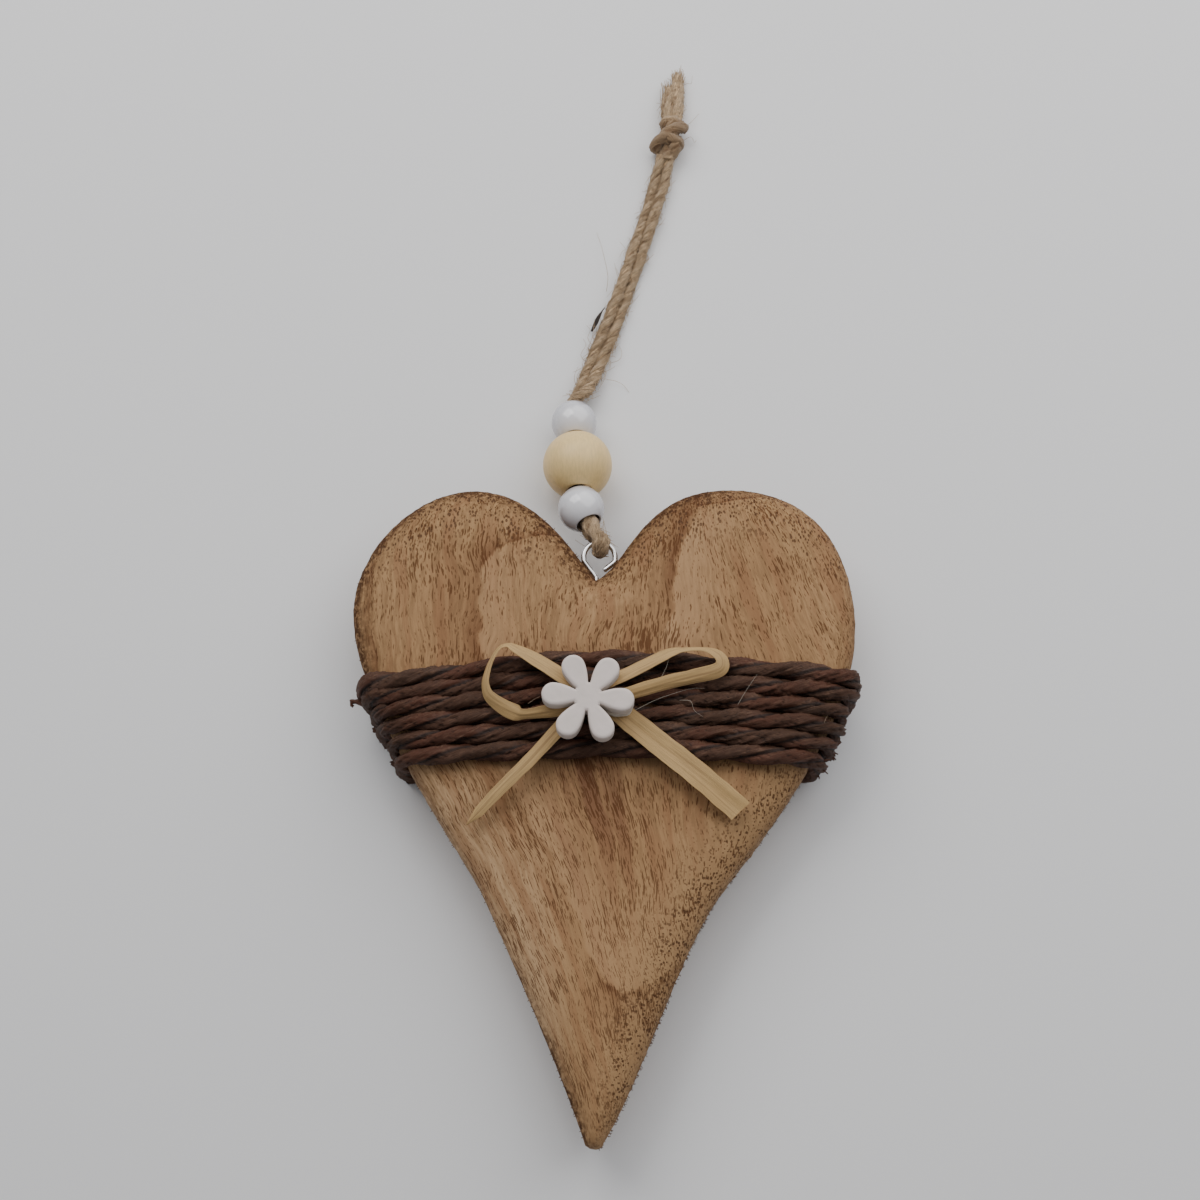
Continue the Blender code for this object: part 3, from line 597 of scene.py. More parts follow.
def add_mesh(name, verts, faces, material, attributes=None, replaced=(), slot=None, sharp=None):
    """A smooth-shaded mesh object that rides on the object's body."""
    mesh = bpy.data.meshes.new(name)
    mesh.from_pydata([tuple(v) for v in verts], [], faces)
    mesh.validate()
    mesh.materials.append(material)
    for key, values in (attributes or {}).items():
        layer = mesh.attributes.new(key, "FLOAT", "POINT")
        layer.data.foreach_set("value", np.asarray(values, np.float32))
    made = bpy.data.objects.new(name, mesh)
    bpy.context.scene.collection.objects.link(made)
    mesh.shade_smooth()
    if sharp is not None:
        mesh.set_sharp_from_angle(angle=math.radians(sharp))
    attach(made, "root")
    if replaced:
        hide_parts(*replaced)
    return made


def loft_faces(count, sides, first=0):
    """Faces between rows of points, with a fan to a middle point at each end."""
    faces = []
    for row in range(count - 1):
        a = first + row * sides
        b = a + sides
        for side in range(sides):
            after = (side + 1) % sides
            faces.append((a + side, a + after, b + after, b + side))
    start = first + count * sides
    last = first + (count - 1) * sides
    for side in range(sides):
        after = (side + 1) % sides
        faces.append((start, first + after, first + side))
        faces.append((start + 1, last + side, last + after))
    return faces


def loft(name, rows, material, facts=None, **others):
    """A closed body through rows of points, with values for its material at each point."""
    rows = np.asarray(rows)
    count, sides = rows.shape[:2]
    verts = np.concatenate([rows.reshape(-1, 3), [rows[0].mean(0)], [rows[-1].mean(0)]])
    facts = {key: with_caps(values) for key, values in (facts or {}).items()}
    return add_mesh(name, verts, loft_faces(count, sides), material, facts, **others)


def with_caps(values):
    """A value for each point of a loft, its two cap points included."""
    values = np.asarray(values, float)
    return np.concatenate([values.reshape(-1), [values[0].mean()], [values[-1].mean()]])


def wave(x, y, z):
    """Smooth noise between about -1 and 1."""
    return noise.noise(Vector((x, y, z)))


def clipped(values):
    """Values kept between 0 and 1."""
    return np.clip(values, 0, 1)


def unit(vector):
    return vector / np.linalg.norm(vector)


def level_across(direction):
    """The level direction square to another."""
    return unit(np.cross(direction, (0, 0, 1)))


def catmull(points, step):
    """Points an even step apart on a smooth curve through the chosen points."""
    chosen = np.asarray(points, float)
    before = np.vstack([2 * chosen[0] - chosen[1], chosen, 2 * chosen[-1] - chosen[-2]])
    dense = []
    for index in range(len(chosen) - 1):
        p0, p1, p2, p3 = before[index:index + 4]
        t = np.linspace(0, 1, 24, endpoint=False)[:, None]
        dense.append(0.5 * (2 * p1 + (p2 - p0) * t + (2 * p0 - 5 * p1 + 4 * p2 - p3) * t * t
                            + (3 * p1 - p0 - 3 * p2 + p3) * t ** 3))
    return even(np.vstack(dense + [chosen[-1:]]), step)


def even(line, step):
    """The line with its points an even step apart."""
    length = length_along(line)
    count = max(2, int(round(length[-1] / step)) + 1)
    places = np.linspace(0, length[-1], count)
    return np.column_stack([np.interp(places, length, line[:, k]) for k in range(line.shape[1])])


def directions(line):
    tangent = np.gradient(line, axis=0)
    return tangent / np.linalg.norm(tangent, axis=1)[:, None]


def frames_along(line, start=(0, 0, 1)):
    """Two steady cross directions at each point of a line."""
    tangent = directions(line)
    side = np.asarray(start, float)
    first = []
    for direction in tangent:
        side = unit(side - direction * side.dot(direction))
        first.append(side)
    first = np.array(first)
    return first, np.cross(tangent, first)


def length_along(line):
    """How far along a line each of its points is."""
    return np.concatenate([[0], np.cumsum(np.linalg.norm(np.diff(line, axis=0), axis=1))])


def ring(first, second, angles):
    """Points of a round section, from its two cross directions."""
    return np.cos(angles)[:, None] * first + np.sin(angles)[:, None] * second


def twisted_strand(line, radius, sides, plies, lay, groove, rough, seed, fold, hand, taper=0.0,
                   width=None, press=None, tear=1.6):
    """Rows of points of a twisted strand, with what its material reads; tear is how fine its slits are."""
    first, second = frames_along(line)
    length = length_along(line)
    rows, crease_shade, ply, along, around = [], [], [], [], []
    angles = np.arange(sides) * 2 * math.pi / sides
    shift = Vector((3.1, 5.7, 0.9))
    for index, centre in enumerate(line):
        s = length[index]
        turn = hand * 2 * math.pi * s / lay
        end = min(s, length[-1] - s)
        thin = 1.0 if taper <= 0 else min(1.0, 0.55 + 0.45 * math.sqrt(min(1.0, end / taper)))
        full = radius * thin * (1 + 0.06 * wave(s / (radius * 5), seed, 1.5))
        row, dark, which = [], [], []
        for angle in angles:
            local = angle - turn
            beat = math.cos(local * plies / 2)
            crest = abs(beat) ** 0.85
            flat = (math.cos(local) * fold[0], math.sin(local) * fold[0])
            place = Vector((*flat, s / (radius * fold[1]) + seed * 7.3))
            swell = noise.noise(place)
            slit = max(0.0, 1 - abs(noise.noise(place * tear + shift)) * 6.5)
            row.append(full * (1 - groove * (1 - crest) + rough * swell - 0.9 * rough * slit * slit))
            # Painted shade: darker in the grooves between plies and in the slits.
            dark.append(min(1.0, max(0.0, 1 - abs(beat) * 2.0) + 0.75 * slit * slit))
            which.append(0.5 + 0.5 * math.copysign(1, beat))
        row = np.array(row)
        wide = 1.0 if width is None else width(s)
        thick = 1.0 if press is None else press(centre)
        offset = (row * thick * np.cos(angles))[:, None] * first[index]
        offset += (row * wide * np.sin(angles))[:, None] * second[index]
        rows.append(centre + offset)
        crease_shade.append(dark)
        ply.append(which)
        along.append([s / MM] * sides)
        around.append(1.7 * np.sin(angles - turn) + 0.6 * np.cos(angles - turn))
    return np.array(rows), {"crease_shade": crease_shade, "ply": ply, "along": along, "around": around}


def strand_object(name, line, material, replaced, slot, floor, **shape):
    """A twisted strand as an object, pressed flat where it would go below the floor."""
    rows, facts = twisted_strand(line, **shape)
    rows[:, :, 2] = np.maximum(rows[:, :, 2], floor)
    return loft(name, rows, material, facts, replaced=replaced, slot=slot)


# The heart

def cubic(start, out_handle, in_handle, end, t):
    a, b, c, d = (1 - t) ** 3, 3 * (1 - t) ** 2 * t, 3 * (1 - t) * t * t, t ** 3
    return [
        a * start[i] + b * (start[i] + out_handle[i]) + c * (end[i] + in_handle[i]) + d * end[i]
        for i in (0, 1)
    ]


def heart_outline(steps):
    """The closed outline, anticlockwise from the tip."""
    sides = []
    for side, width in ((RIGHT_SIDE, RIGHT_WIDTH), (LEFT_SIDE, LEFT_WIDTH)):
        points = []
        for index, (start, out_handle, in_handle, end) in enumerate(side):
            if index == len(side) - 1:
                end = (0.0, (CLEFT_Y - HEART_LOW.y) / HEART_LENGTH)
            for step in range(steps[index]):
                x, y = cubic(start, out_handle, in_handle, end, step / steps[index])
                points.append((x * width, HEART_LOW.y + y * HEART_LENGTH))
        sides.append(points)
    right = [(AXIS_X + x, y) for x, y in sides[0]]
    left = [(AXIS_X - x, y) for x, y in sides[1]]
    rise = right[0][1] - HEART_LOW.y
    tip = []
    for degrees in (-66, -33, 0, 33, 66):
        half = abs(left[0][0] - AXIS_X) if degrees < 0 else right[0][0] - AXIS_X
        angle = math.radians(degrees)
        tip.append((AXIS_X + half * math.sin(angle), right[0][1] - rise * math.cos(angle)))
    return np.array(tip[2:] + right + [(AXIS_X, CLEFT_Y)] + left[::-1] + tip[:2])


def edge_distance(points, outline):
    """Distance of each point to a closed outline."""
    best = np.full(len(points), 1.0)
    for start, end in zip(outline, np.roll(outline, -1, axis=0)):
        line = end - start
        t = clipped(((points - start) @ line) / (line @ line))
        best = np.minimum(best, np.linalg.norm(points - start - t[:, None] * line, axis=1))
    return best


def round_over(distance, width, drop):
    """How far a rounded edge has dropped at a distance from it."""
    share = 1 - clipped(distance / width)
    return drop * (1 - np.sqrt(clipped(1 - share * share)))


def pillow(outline, coarse, centre, low, high, top, bottom, counts):
    """A solid between two heights over an outline, with rounded edges. Rows go from below to above."""
    below, walls, above = counts
    plan = [(1 - (1 - t) ** 1.7, "below") for t in np.linspace(0.0, 1.0, below)[1:]]
    tall = high - top[1] - low - bottom[1]
    plan += [(1.0, low + bottom[1] + tall * k / (walls + 1)) for k in range(1, walls + 1)]
    plan += [(1 - (1 - t) ** 1.7, "above") for t in np.linspace(1.0, 0.0, above)[:-1]]
    rows, distances = [], []
    for share, level in plan:
        flat = centre + (outline - centre) * share
        distance = edge_distance(flat, coarse) if share < 1 else np.zeros(len(flat))
        if level == "below":
            z = low + round_over(distance, *bottom)
        elif level == "above":
            z = high - round_over(distance, *top)
        else:
            z = np.full(len(flat), level)
        rows.append(np.column_stack([flat, z]))
        distances.append(distance)
    return np.array(rows), np.array(distances)


def carve(rows, distances, outline, centre):
    """Make the heart's faces and edge as uneven as a hand cuts them."""
    outward = outline - centre
    outward /= np.linalg.norm(outward, axis=1)[:, None]
    middle_z = (HEART_LOW.z + HEART_HIGH.z) / 2
    right_low = clipped((outline[:, 0] - AXIS_X) / 0.004) * clipped((0.012 - outline[:, 1]) / 0.010)
    for row, distance in zip(rows, distances):
        for index, (x, y, z) in enumerate(row):
            near = math.exp(-distance[index] / 0.0012)
            ragged = wave(x * 900, y * 900, z * 160)
            uneven = wave(x * 75, y * 60, z * 75)
            tool = wave(x * 380, y * 120, z * 300 + 9.0)
            push = near * ((0.00016 + 0.00018 * right_low[index]) * ragged)
            row[index, :2] += outward[index] * push
            if distance[index] > 0:
                up = 1 if z > middle_z else -1
                hollow = min(1.0, distance[index] / 0.004) * 0.00011 * uneven
                row[index, 2] += up * (hollow - 0.00002 + 0.00003 * tool)


def heart_facts(rows, distances):
    """Where the heart is scorched, where its flank is rough, and how near its rim is."""
    x, y, z = rows[:, :, 0], rows[:, :, 1], rows[:, :, 2]
    front = clipped((z - HEART_LOW.z) / 0.006)
    left_lobe = clipped((AXIS_X + 0.001 - x) / 0.006) * clipped((y - 0.018) / 0.012)
    inner = np.exp(-((x - AXIS_X) / 0.020) ** 2) * clipped((y - 0.040) / 0.006)
    right_crown = np.exp(-((x - 0.020) / 0.010) ** 2) * clipped((y - 0.052) / 0.008)
    strength = 0.40 + 1.1 * left_lobe + 1.2 * inner + 1.3 * right_crown
    arris = np.where(distances > 0, 1.0, np.exp(-(clipped(HEART_HIGH.z - 0.0055 - z) / 0.0022)))
    burn = np.exp(-distances / 0.0012) * strength * (0.10 + 0.90 * arris) * (0.3 + 0.7 * front)
    wide_burn = 0.6 * left_lobe + 0.8 * inner * (x < AXIS_X) + 0.9 * right_crown
    burn += 0.42 * np.exp(-distances / 0.0034) * arris * wide_burn
    left_low = clipped((AXIS_X - x) / 0.002) * clipped((-0.030 - y) / 0.020)
    burn += 0.8 * np.exp(-distances / 0.0009) * left_low * (0.08 + 0.92 * arris)
    low_flank = clipped((x - AXIS_X + 0.002) / 0.006) * clipped((0.010 - y) / 0.008)
    flank = clipped(1.25 * np.exp(-(distances / 0.0078) ** 2)) * low_flank
    return {"burn": clipped(burn), "flank": flank, "rim": np.exp(-(distances / 0.012) ** 2)}


def make_heart(material):
    """The wooden heart with its hand-cut surface, scorched rim and rough flank."""
    outline = heart_outline(FINE_STEPS)
    centre = np.array([AXIS_X, HEART_LENGTH * 0.15])
    rows, distances = pillow(
        outline, heart_outline(COARSE_STEPS), centre, HEART_LOW.z, HEART_HIGH.z, FRONT_ROUND, BACK_ROUND,
        (26, 12, 92),
    )
    carve(rows, distances, outline, centre)
    facts = heart_facts(rows, distances)
    return loft("heart_wood", rows, material, facts, replaced=("wooden_heart",), slot="heart_wood")


# The winding

def wrap_y(turn, x):
    """How far up the heart a turn of the winding lies at a place across it."""
    half = LEFT_WIDTH if x < AXIS_X else RIGHT_WIDTH
    share = min(1.0, abs(x - AXIS_X) / half)
    middle = math.cos(share * math.pi / 2) ** 2
    pitch = WRAP_PITCH_SIDE + (WRAP_PITCH_MIDDLE - WRAP_PITCH_SIDE) * middle
    centre = WRAP_CENTRE_SIDE + (WRAP_CENTRE_MIDDLE - WRAP_CENTRE_SIDE) * middle
    sag = LEFT_SAG[turn] * MM * min(1.0, max(0.0, (share - 0.2) / 0.5)) if x < AXIS_X else 0.0
    return centre + pitch * ((WRAP_TURNS - 1) / 2 - turn) - sag


def inside_distance(x, y, outline):
    """How far a point is inside the outline, less than 0 outside."""
    after = np.roll(outline, -1, axis=0)
    line = after - outline
    point = np.array([x, y])
    t = clipped(((point - outline) * line).sum(1) / (line * line).sum(1))
    best = np.linalg.norm(point - outline - t[:, None] * line, axis=1).min()
    spans = (outline[:, 1] > y) != (after[:, 1] > y)
    rows, ends = outline[spans], line[spans]
    hits = x < rows[:, 0] + (y - rows[:, 1]) * ends[:, 0] / ends[:, 1]
    return best if hits.sum() % 2 else -best


def wrap_bend(turn, way, front, outline):
    """The winding's bend over the front or back edge, from the face to the side."""
    width, drop = FRONT_ROUND if front else BACK_ROUND
    up = 1 if front else -1
    face = HEART_HIGH.z if front else HEART_LOW.z
    small = 0.0002
    points = []
    for degrees in (0, 22, 42, 60, 76, 90) if front else (0, 30, 60, 90):
        angle = math.radians(degrees)
        target = width * (1 - math.sin(angle)) + SMALL_GAP
        inner = AXIS_X
        outer = AXIS_X + way * 1.05 * RIGHT_WIDTH
        for _ in range(22):
            trial = (inner + outer) / 2
            if inside_distance(trial, wrap_y(turn, trial), outline) > target:
                inner = trial
            else:
                outer = trial
        x, y = inner, wrap_y(turn, inner)
        slope = inside_distance(x - small, y, outline) - inside_distance(x + small, y, outline)
        slope /= 2 * small
        outward, upward = drop * math.sin(angle), up * width * math.cos(angle)
        size = math.hypot(outward, upward)
        outward, upward = outward / size * slope, upward / size
        size = math.hypot(outward, upward)
        z = face - up * drop * (1 - math.cos(angle))
        slack = (LEFT_SLACK if way < 0 else RIGHT_SLACK)[turn] * MM * math.sin(angle)
        points.append((x + (WRAP_REACH + slack) * outward / size, y, z + WRAP_REACH * upward / size))
    return points


def wrap_section(turn, outline):
    """One turn of the winding: up the left side, over the front and down the right side."""
    left = wrap_bend(turn, -1, False, outline) + wrap_bend(turn, -1, True, outline)[::-1]
    right = wrap_bend(turn, 1, True, outline) + wrap_bend(turn, 1, False, outline)[::-1]
    middle = []
    for share in (0.2, 0.4, 0.6, 0.8):
        x = left[-1][0] + (right[0][0] - left[-1][0]) * share
        middle.append((x, wrap_y(turn, x), HEART_HIGH.z + WRAP_REACH))
    return left + middle + right


def make_winding(material, sizes):
    """Six turns of twisted paper cord in one length, pressed flat underneath."""
    outline = heart_outline(COARSE_STEPS)
    low = HEART_LOW.z - WRAP_REACH
    points = []
    for turn in range(WRAP_TURNS):
        points += wrap_section(turn, outline)
    (start_x, start_y), (end_x, end_y) = points[0][:2], points[-1][:2]
    points = [(start_x + reach, start_y, low) for reach in (WRAP_END_FAR, WRAP_END_NEAR)] + points
    points += [(end_x - reach, end_y, low) for reach in (WRAP_END_NEAR, WRAP_END_FAR)]
    line = even(catmull(points, 0.0005), 0.00055)
    kernel = np.ones(5) / 5
    soft = line.copy()
    for axis in range(3):
        soft[2:-2, axis] = np.convolve(line[:, axis], kernel, "valid")
    soft[:, 1] += [0.00012 * wave(s * 0.02, 4.0, 0.0) for s in range(len(soft))]
    strand_object(
        "paper_winding", soft, material, ("paper_cord_wrap",), "wrap_paper", SMALL_GAP,
        radius=sizes.paper_cord / 2, sides=40, plies=2, lay=sizes.paper_lay, groove=0.46, rough=0.27,
        tear=2.3, seed=2.0, fold=(3.4, 4.2), hand=-1.0,
        width=lambda s: 1 + 0.28 * math.exp(-((s - 0.024) / 0.010) ** 2),
        press=lambda place: 1 - 0.30 * min(1.0, max(0.0, (HEART_HIGH.z + WRAP_REACH - place[2]) / 0.006)),
    )
    return soft


# The bow: stations of its strips as x, y, width and tilt, in millimetres and degrees

LEFT_LOOP = [
    (-5.2, 21.2, 3.3, 62), (-9.3, 24.0, 3.5, 66), (-14.0, 27.0, 3.4, 62), (-17.6, 29.0, 2.9, 50),
    (-19.3, 29.7, 2.4, 34), (-20.9, 29.0, 2.2, 22), (-22.4, 26.6, 2.2, 28), (-23.3, 23.8, 2.3, 34),
    (-23.5, 21.5, 2.4, 38), (-22.7, 19.3, 2.7, 46), (-20.4, 17.4, 3.1, 58), (-17.5, 15.9, 3.3, 64),
    (-15.6, 15.6, 2.3, 44), (-10.6, 16.3, 2.8, 58), (-5.2, 17.2, 2.8, 60),
]
RIGHT_LOOP = [
    (-1.0, 21.3, 3.0, 60), (4.2, 23.7, 3.1, 62), (10.6, 27.0, 3.0, 60), (13.4, 28.3, 2.9, 52),
    (16.0, 28.8, 2.4, 34), (19.6, 28.9, 2.3, 32), (22.3, 28.0, 2.8, 52), (23.5, 26.4, 3.0, 62),
    (22.6, 24.6, 3.1, 66), (17.2, 23.2, 2.9, 60), (12.2, 22.0, 2.9, 58), (6.2, 20.2, 2.8, 58),
    (0.2, 18.2, 2.8, 56),
]
# The tails' stations also have a height over the winding, after y
LEFT_TAIL = [
    (-4.6, 17.6, 1.0, 3.0, 80), (-9.2, 12.6, 0.55, 2.9, 84), (-12.3, 9.2, 0.2, 2.7, 86),
    (-15.4, 5.9, 0.0, 2.6, 88), (-21.0, 0.4, -0.8, 2.4, 90), (-26.9, -5.7, -2.4, 1.9, 90),
]
RIGHT_TAIL = [
    (-0.4, 18.6, 1.5, 4.0, 90), (4.0, 15.4, 1.0, 4.5, 90), (11.0, 9.8, 0.3, 4.8, 90),
    (19.0, 3.3, 0.1, 4.9, 90), (26.7, -3.1, -1.9, 5.0, 90),
]
LOOP_RISE = 1.45
STRIP_POINTS = 15


def strip_rows(stations, thickness, fold, seed, cut, pointed):
    """A raffia strip through stations of (x, y, z, width, tilt), with a lengthwise fold."""
    line = catmull(stations, 0.25)
    tangent = directions(line[:, :3])
    length = length_along(line[:, :3])
    rows, along, around, crease_shade = [], [], [], []
    shares = np.linspace(-1, 1, STRIP_POINTS)
    for index, (x, y, z, width, tilt) in enumerate(line):
        direction = tangent[index]
        level = unit(np.cross((0, 0, 1), direction))
        upright = np.cross(direction, level)
        angle = math.radians(90 - tilt)
        wide = level * math.cos(angle) + upright * math.sin(angle)
        normal = np.cross(direction, wide)
        s = length[index]
        left = length[-1] - s
        narrow = min(1.0, 0.12 + 0.88 * left / pointed) if pointed > 0 else 1.0
        upper, lower, dark = [], [], []
        for share in shares:
            ripple = wave(share * 2.6 + seed, s * 0.10, seed)
            ribs = wave(share * 10.0, s * 0.07, seed + 4.0)
            bend = fold * (1 - abs(share)) + 0.12 * ripple + 0.05 * ribs
            edge = 1 + 0.05 * wave(s * 0.35, seed, share)
            base = np.array((x, y, z)) + wide * share * width * narrow * edge / 2 + normal * bend
            half = thickness / 2 * (1 - 0.6 * abs(share) ** 6)
            slide = direction * cut * share * max(0.0, 1 - left)
            upper.append(base + normal * half + slide)
            lower.append(base - normal * half + slide)
            # Painted shade: darker along the middle fold and over the ribs.
            dark.append(max(0.0, 1 - abs(share) / 0.22) * 0.5 + max(0.0, ribs) * 1.4)
        rows.append(np.array(upper + lower[::-1]) * MM)
        along.append([s] * (2 * STRIP_POINTS))
        around.append(list(shares * width) + list(shares[::-1] * width))
        crease_shade.append(dark + dark[::-1])
    return np.array(rows), {"along": along, "around": around, "crease_shade": crease_shade}


def make_bow(material, sizes):
    """Two loops and two tails of raffia, drawn from above."""
    rest = (HEART_HIGH.z + 2 * WRAP_REACH) * 1000 + 0.5
    left = [(x, y, rest + LOOP_RISE, w, t) for x, y, w, t in LEFT_LOOP]
    right = [(x, y, rest + LOOP_RISE, w, -t) for x, y, w, t in RIGHT_LOOP]
    left_tail = [(x, y, rest + z, w, t) for x, y, z, w, t in LEFT_TAIL]
    right_tail = [(x, y, rest + z, w, t) for x, y, z, w, t in RIGHT_TAIL]
    for name, stations, fold, seed, cut, pointed in (
        ("raffia_left_loop", left, 0.28, 1.0, 0.0, 0.0),
        ("raffia_right_loop", right, -0.26, 2.0, 0.0, 0.0),
        ("raffia_left_tail", left_tail, 0.20, 3.0, 0.0, 3.5),
        ("raffia_right_tail", right_tail, -0.34, 4.0, 0.3, 0.0),
    ):
        rows, facts = strip_rows(stations, sizes.raffia_thickness * 1000, fold, seed, cut, pointed)
        replaced = ("raffia_bow",) if name == "raffia_left_loop" else ()
        loft(name, rows, material, facts, replaced=replaced, slot="raffia", sharp=50)


# The flower

def flower_outline(count):
    """Six petals with round tips and narrow slits, anticlockwise, about the flower's middle."""
    petals, radius, half = 6, 0.0091, 0.0023
    slit, slit_width = 0.0026, 0.0004
    cap = radius - half
    spread = math.pi / petals
    points = []
    for petal in range(petals):
        turn = math.radians(-5) + 2 * spread * petal
        side = []
        for step in range(count):
            share = step / count
            r = slit + (cap - slit) * share
            room = r * math.tan(spread) - slit_width / 2 / math.cos(spread)
            side.append((r, min(room, half * (0.55 + 0.45 * math.sin(share * math.pi / 2)))))
        local = [(r, -h) for r, h in side]
        for step in range(2 * count + 1):
            angle = -math.pi / 2 + math.pi * step / (2 * count)
            local.append((cap + half * math.cos(angle), half * math.sin(angle)))
        local += [(r, h) for r, h in reversed(side)]
        for x, y in local:
            points.append((x * math.cos(turn) - y * math.sin(turn), x * math.sin(turn) + y * math.cos(turn)))
    return np.array(points)


def make_flower(material):
    """The painted flower with its edges softly rounded."""
    middle = np.array([-0.0032, 0.0180])
    outline = flower_outline(14) + middle
    rows, distances = pillow(
        outline, outline, middle, FLOWER_LOW.z, FLOWER_HIGH.z, (0.0007, 0.0005), (0.0004, 0.0003),
        (8, 5, 34),
    )
    for row in rows:
        for index, (x, y, z) in enumerate(row):
            row[index, 2] += 0.00003 * wave(x * 700, y * 700, z * 200)
    # The side faces carry painted shade.
    facts = {"wall_shade": distances <= 0}
    return loft("painted_flower", rows, material, facts, replaced=("wooden_flower",), slot="flower_paint")


# The beads

def bead_line():
    """Middle of each bead, and the direction of their hole towards the eye."""
    middles = {name: sum(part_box(name), Vector()) / 2 for name in BEAD_NAMES}
    along = (middles["bead_lower_white"] - middles["bead_upper_white"]).normalized()
    return middles, along


def hole_direction(name):
    """The way a bead's hole points: the lowest bead is turned towards the eye."""
    turn = Matrix.Rotation(LOWER_BEAD_TURN if name == "bead_lower_white" else 0.0, 3, "Z")
    return np.array(turn @ bead_line()[1])


def bead_profile(radius, hole, rim):
    """A bead's closed profile as radius, height and how far into the hole, from the end nearer the eye."""
    limit = math.asin((hole + rim) / radius)
    end = radius * math.cos(limit)
    turns = [math.pi / 2 * step / 6 for step in range(1, 7)]
    edge = [(hole + rim * (1 - math.sin(turn)), rim * (1 - math.cos(turn))) for turn in turns]
    angles = np.linspace(limit, math.pi - limit, 48)
    profile = [(radius * math.sin(angle), radius * math.cos(angle), 0.0) for angle in angles]
    profile += [(r, -end + h, (step + 1) / 6) for step, (r, h) in enumerate(edge)]
    profile += [(hole, -end + rim + (2 * end - 2 * rim) * k / 6, 1.0) for k in range(1, 6)]
    profile += [(r, end - h, (step + 1) / 6) for step, (r, h) in reversed(list(enumerate(edge)))]
    return profile


def make_bead(name, material, slot):
    """A turned bead with a softly rounded rim at each end of its hole."""
    centre = np.array(bead_line()[0][name])
    axis = hole_direction(name)
    first = level_across(axis)
    second = np.cross(axis, first)
    profile = bead_profile(BEAD_DIAMETERS[name] / 2, BEAD_HOLE / 2, BEAD_RIM)
    sides = 72
    count = len(profile)
    verts, faces, dark = [], [], []
    for side in range(sides):
        angle = 2 * math.pi * side / sides
        out = first * math.cos(angle) + second * math.sin(angle)
        here, beside = side * count, ((side + 1) % sides) * count
        for step, (r, h, value) in enumerate(profile):
            after = (step + 1) % count
            verts.append(centre + out * r + axis * h)
            dark.append(value)
            faces.append((here + step, here + after, beside + after, beside + step))
    # The hole values put painted shade in the hole and on its rim.
    return add_mesh(name + "_turned", verts, faces, material, {"hole": dark}, (name,), slot)


# The eye

def make_eye(material):
    """The bent wire of the screw eye with a clean cut end."""
    points = [
        (AXIS_X, EYE_LOW.y, EYE_Z),
        (AXIS_X, CLEFT_Y + 0.0007, EYE_Z),
        (AXIS_X - 0.0002, CLEFT_Y + 0.0017, EYE_Z),
    ]
    for angle in np.radians(np.linspace(202, -20, 17)):
        points.append((EYE_X + EYE_RADIUS * math.cos(angle), EYE_Y + EYE_RADIUS * math.sin(angle), EYE_Z))
    points.append((AXIS_X + 0.0016, CLEFT_Y + 0.0031, EYE_Z))
    line = catmull(points, 0.00022)
    first, second = frames_along(line)
    length = length_along(line)
    angles = np.linspace(0, 2 * math.pi, 20, endpoint=False)
    rows = []
    for index, centre in enumerate(line):
        end = length[-1] - length[index]
        radius = WIRE_DIAMETER / 2 * min(1.0, 0.75 + end / 0.0006)
        rows.append(centre + radius * ring(first[index], second[index], angles))
    return loft("bent_wire_eye", rows, material, replaced=("screw_eye",), slot="eye_steel")


# The jute

def leg_points(side):
    """One leg of the doubled cord, from the ring of the eye through the beads to the knot."""
    middles, along = bead_line()
    along = np.array(along)
    over = unit(np.array((0, 0, 1.0)) - along * along[2])
    wire = np.array((EYE_X, EYE_Y + EYE_RADIUS, EYE_Z))
    turn = WIRE_DIAMETER / 2 + 0.0016
    points = []
    for degrees in (0, 30, 60, 90):
        angle = math.radians(degrees)
        points.append(wire + (0.0002, -turn * math.cos(angle), side * turn * math.sin(angle)))
    end = 0.0048
    first = np.array(middles["bead_lower_white"]) + hole_direction("bead_lower_white") * end
    last = np.array(middles["bead_upper_white"]) - along * end
    for share in (0.0, 0.25, 0.5, 0.75, 1.0):
        points.append(first + (last - first) * share + side * JUTE_APART * over)
    for index, place in enumerate(CORD_ROUTE):
        angle = math.radians(CORD_ROLL[index])
        after = np.array(CORD_ROUTE[min(index + 1, len(CORD_ROUTE) - 1)])
        before = np.array(CORD_ROUTE[max(index - 1, 0)])
        offset = np.array((0, 0, 1)) * math.cos(angle) + level_across(after - before) * math.sin(angle)
        points.append(np.array(place) + side * JUTE_APART * offset)
    line = knot_direction()
    across = np.cross(line, (0, 0, 1))
    points.append(np.array(KNOT_CENTRE) - line * 0.0050 + side * JUTE_APART * 0.8 * across + (0, 0, -0.0004))
    return np.array(points)


def knot_direction():
    """The level way from the end of the cord's route to the knot."""
    line = np.array(KNOT_CENTRE) - np.array(CORD_ROUTE[-1])
    line[2] = 0
    return unit(line)


def knot_spot(forward, aside, up):
    """A place near the knot, in millimetres along the cord, aside and up."""
    line = knot_direction()
    across = np.cross(line, (0, 0, 1))
    return np.array(KNOT_CENTRE) + line * forward * MM + across * aside * MM + np.array((0, 0, up * MM))


def knot_route(phase, start, slope, wide, entry_aside, exit_aside):
    """One strand of the knot: a turn and a bit round the core, slanting as it goes."""
    wraps = [knot_spot(-5.2, entry_aside, -1.4)]
    for degrees in range(0, 391, 30):
        share = degrees / 390
        angle = math.radians(degrees + phase + 150)
        size = wide * (1 - 0.25 * abs(2 * share - 1) ** 2)
        aside = -2.65 * size * math.cos(angle)
        lift = -0.1 + 1.75 * size * math.sin(angle)
        wraps.append(knot_spot(start + 5.8 * share + slope * aside, aside, lift))
    wraps.append(knot_spot(4.8, exit_aside, -0.4))
    return wraps


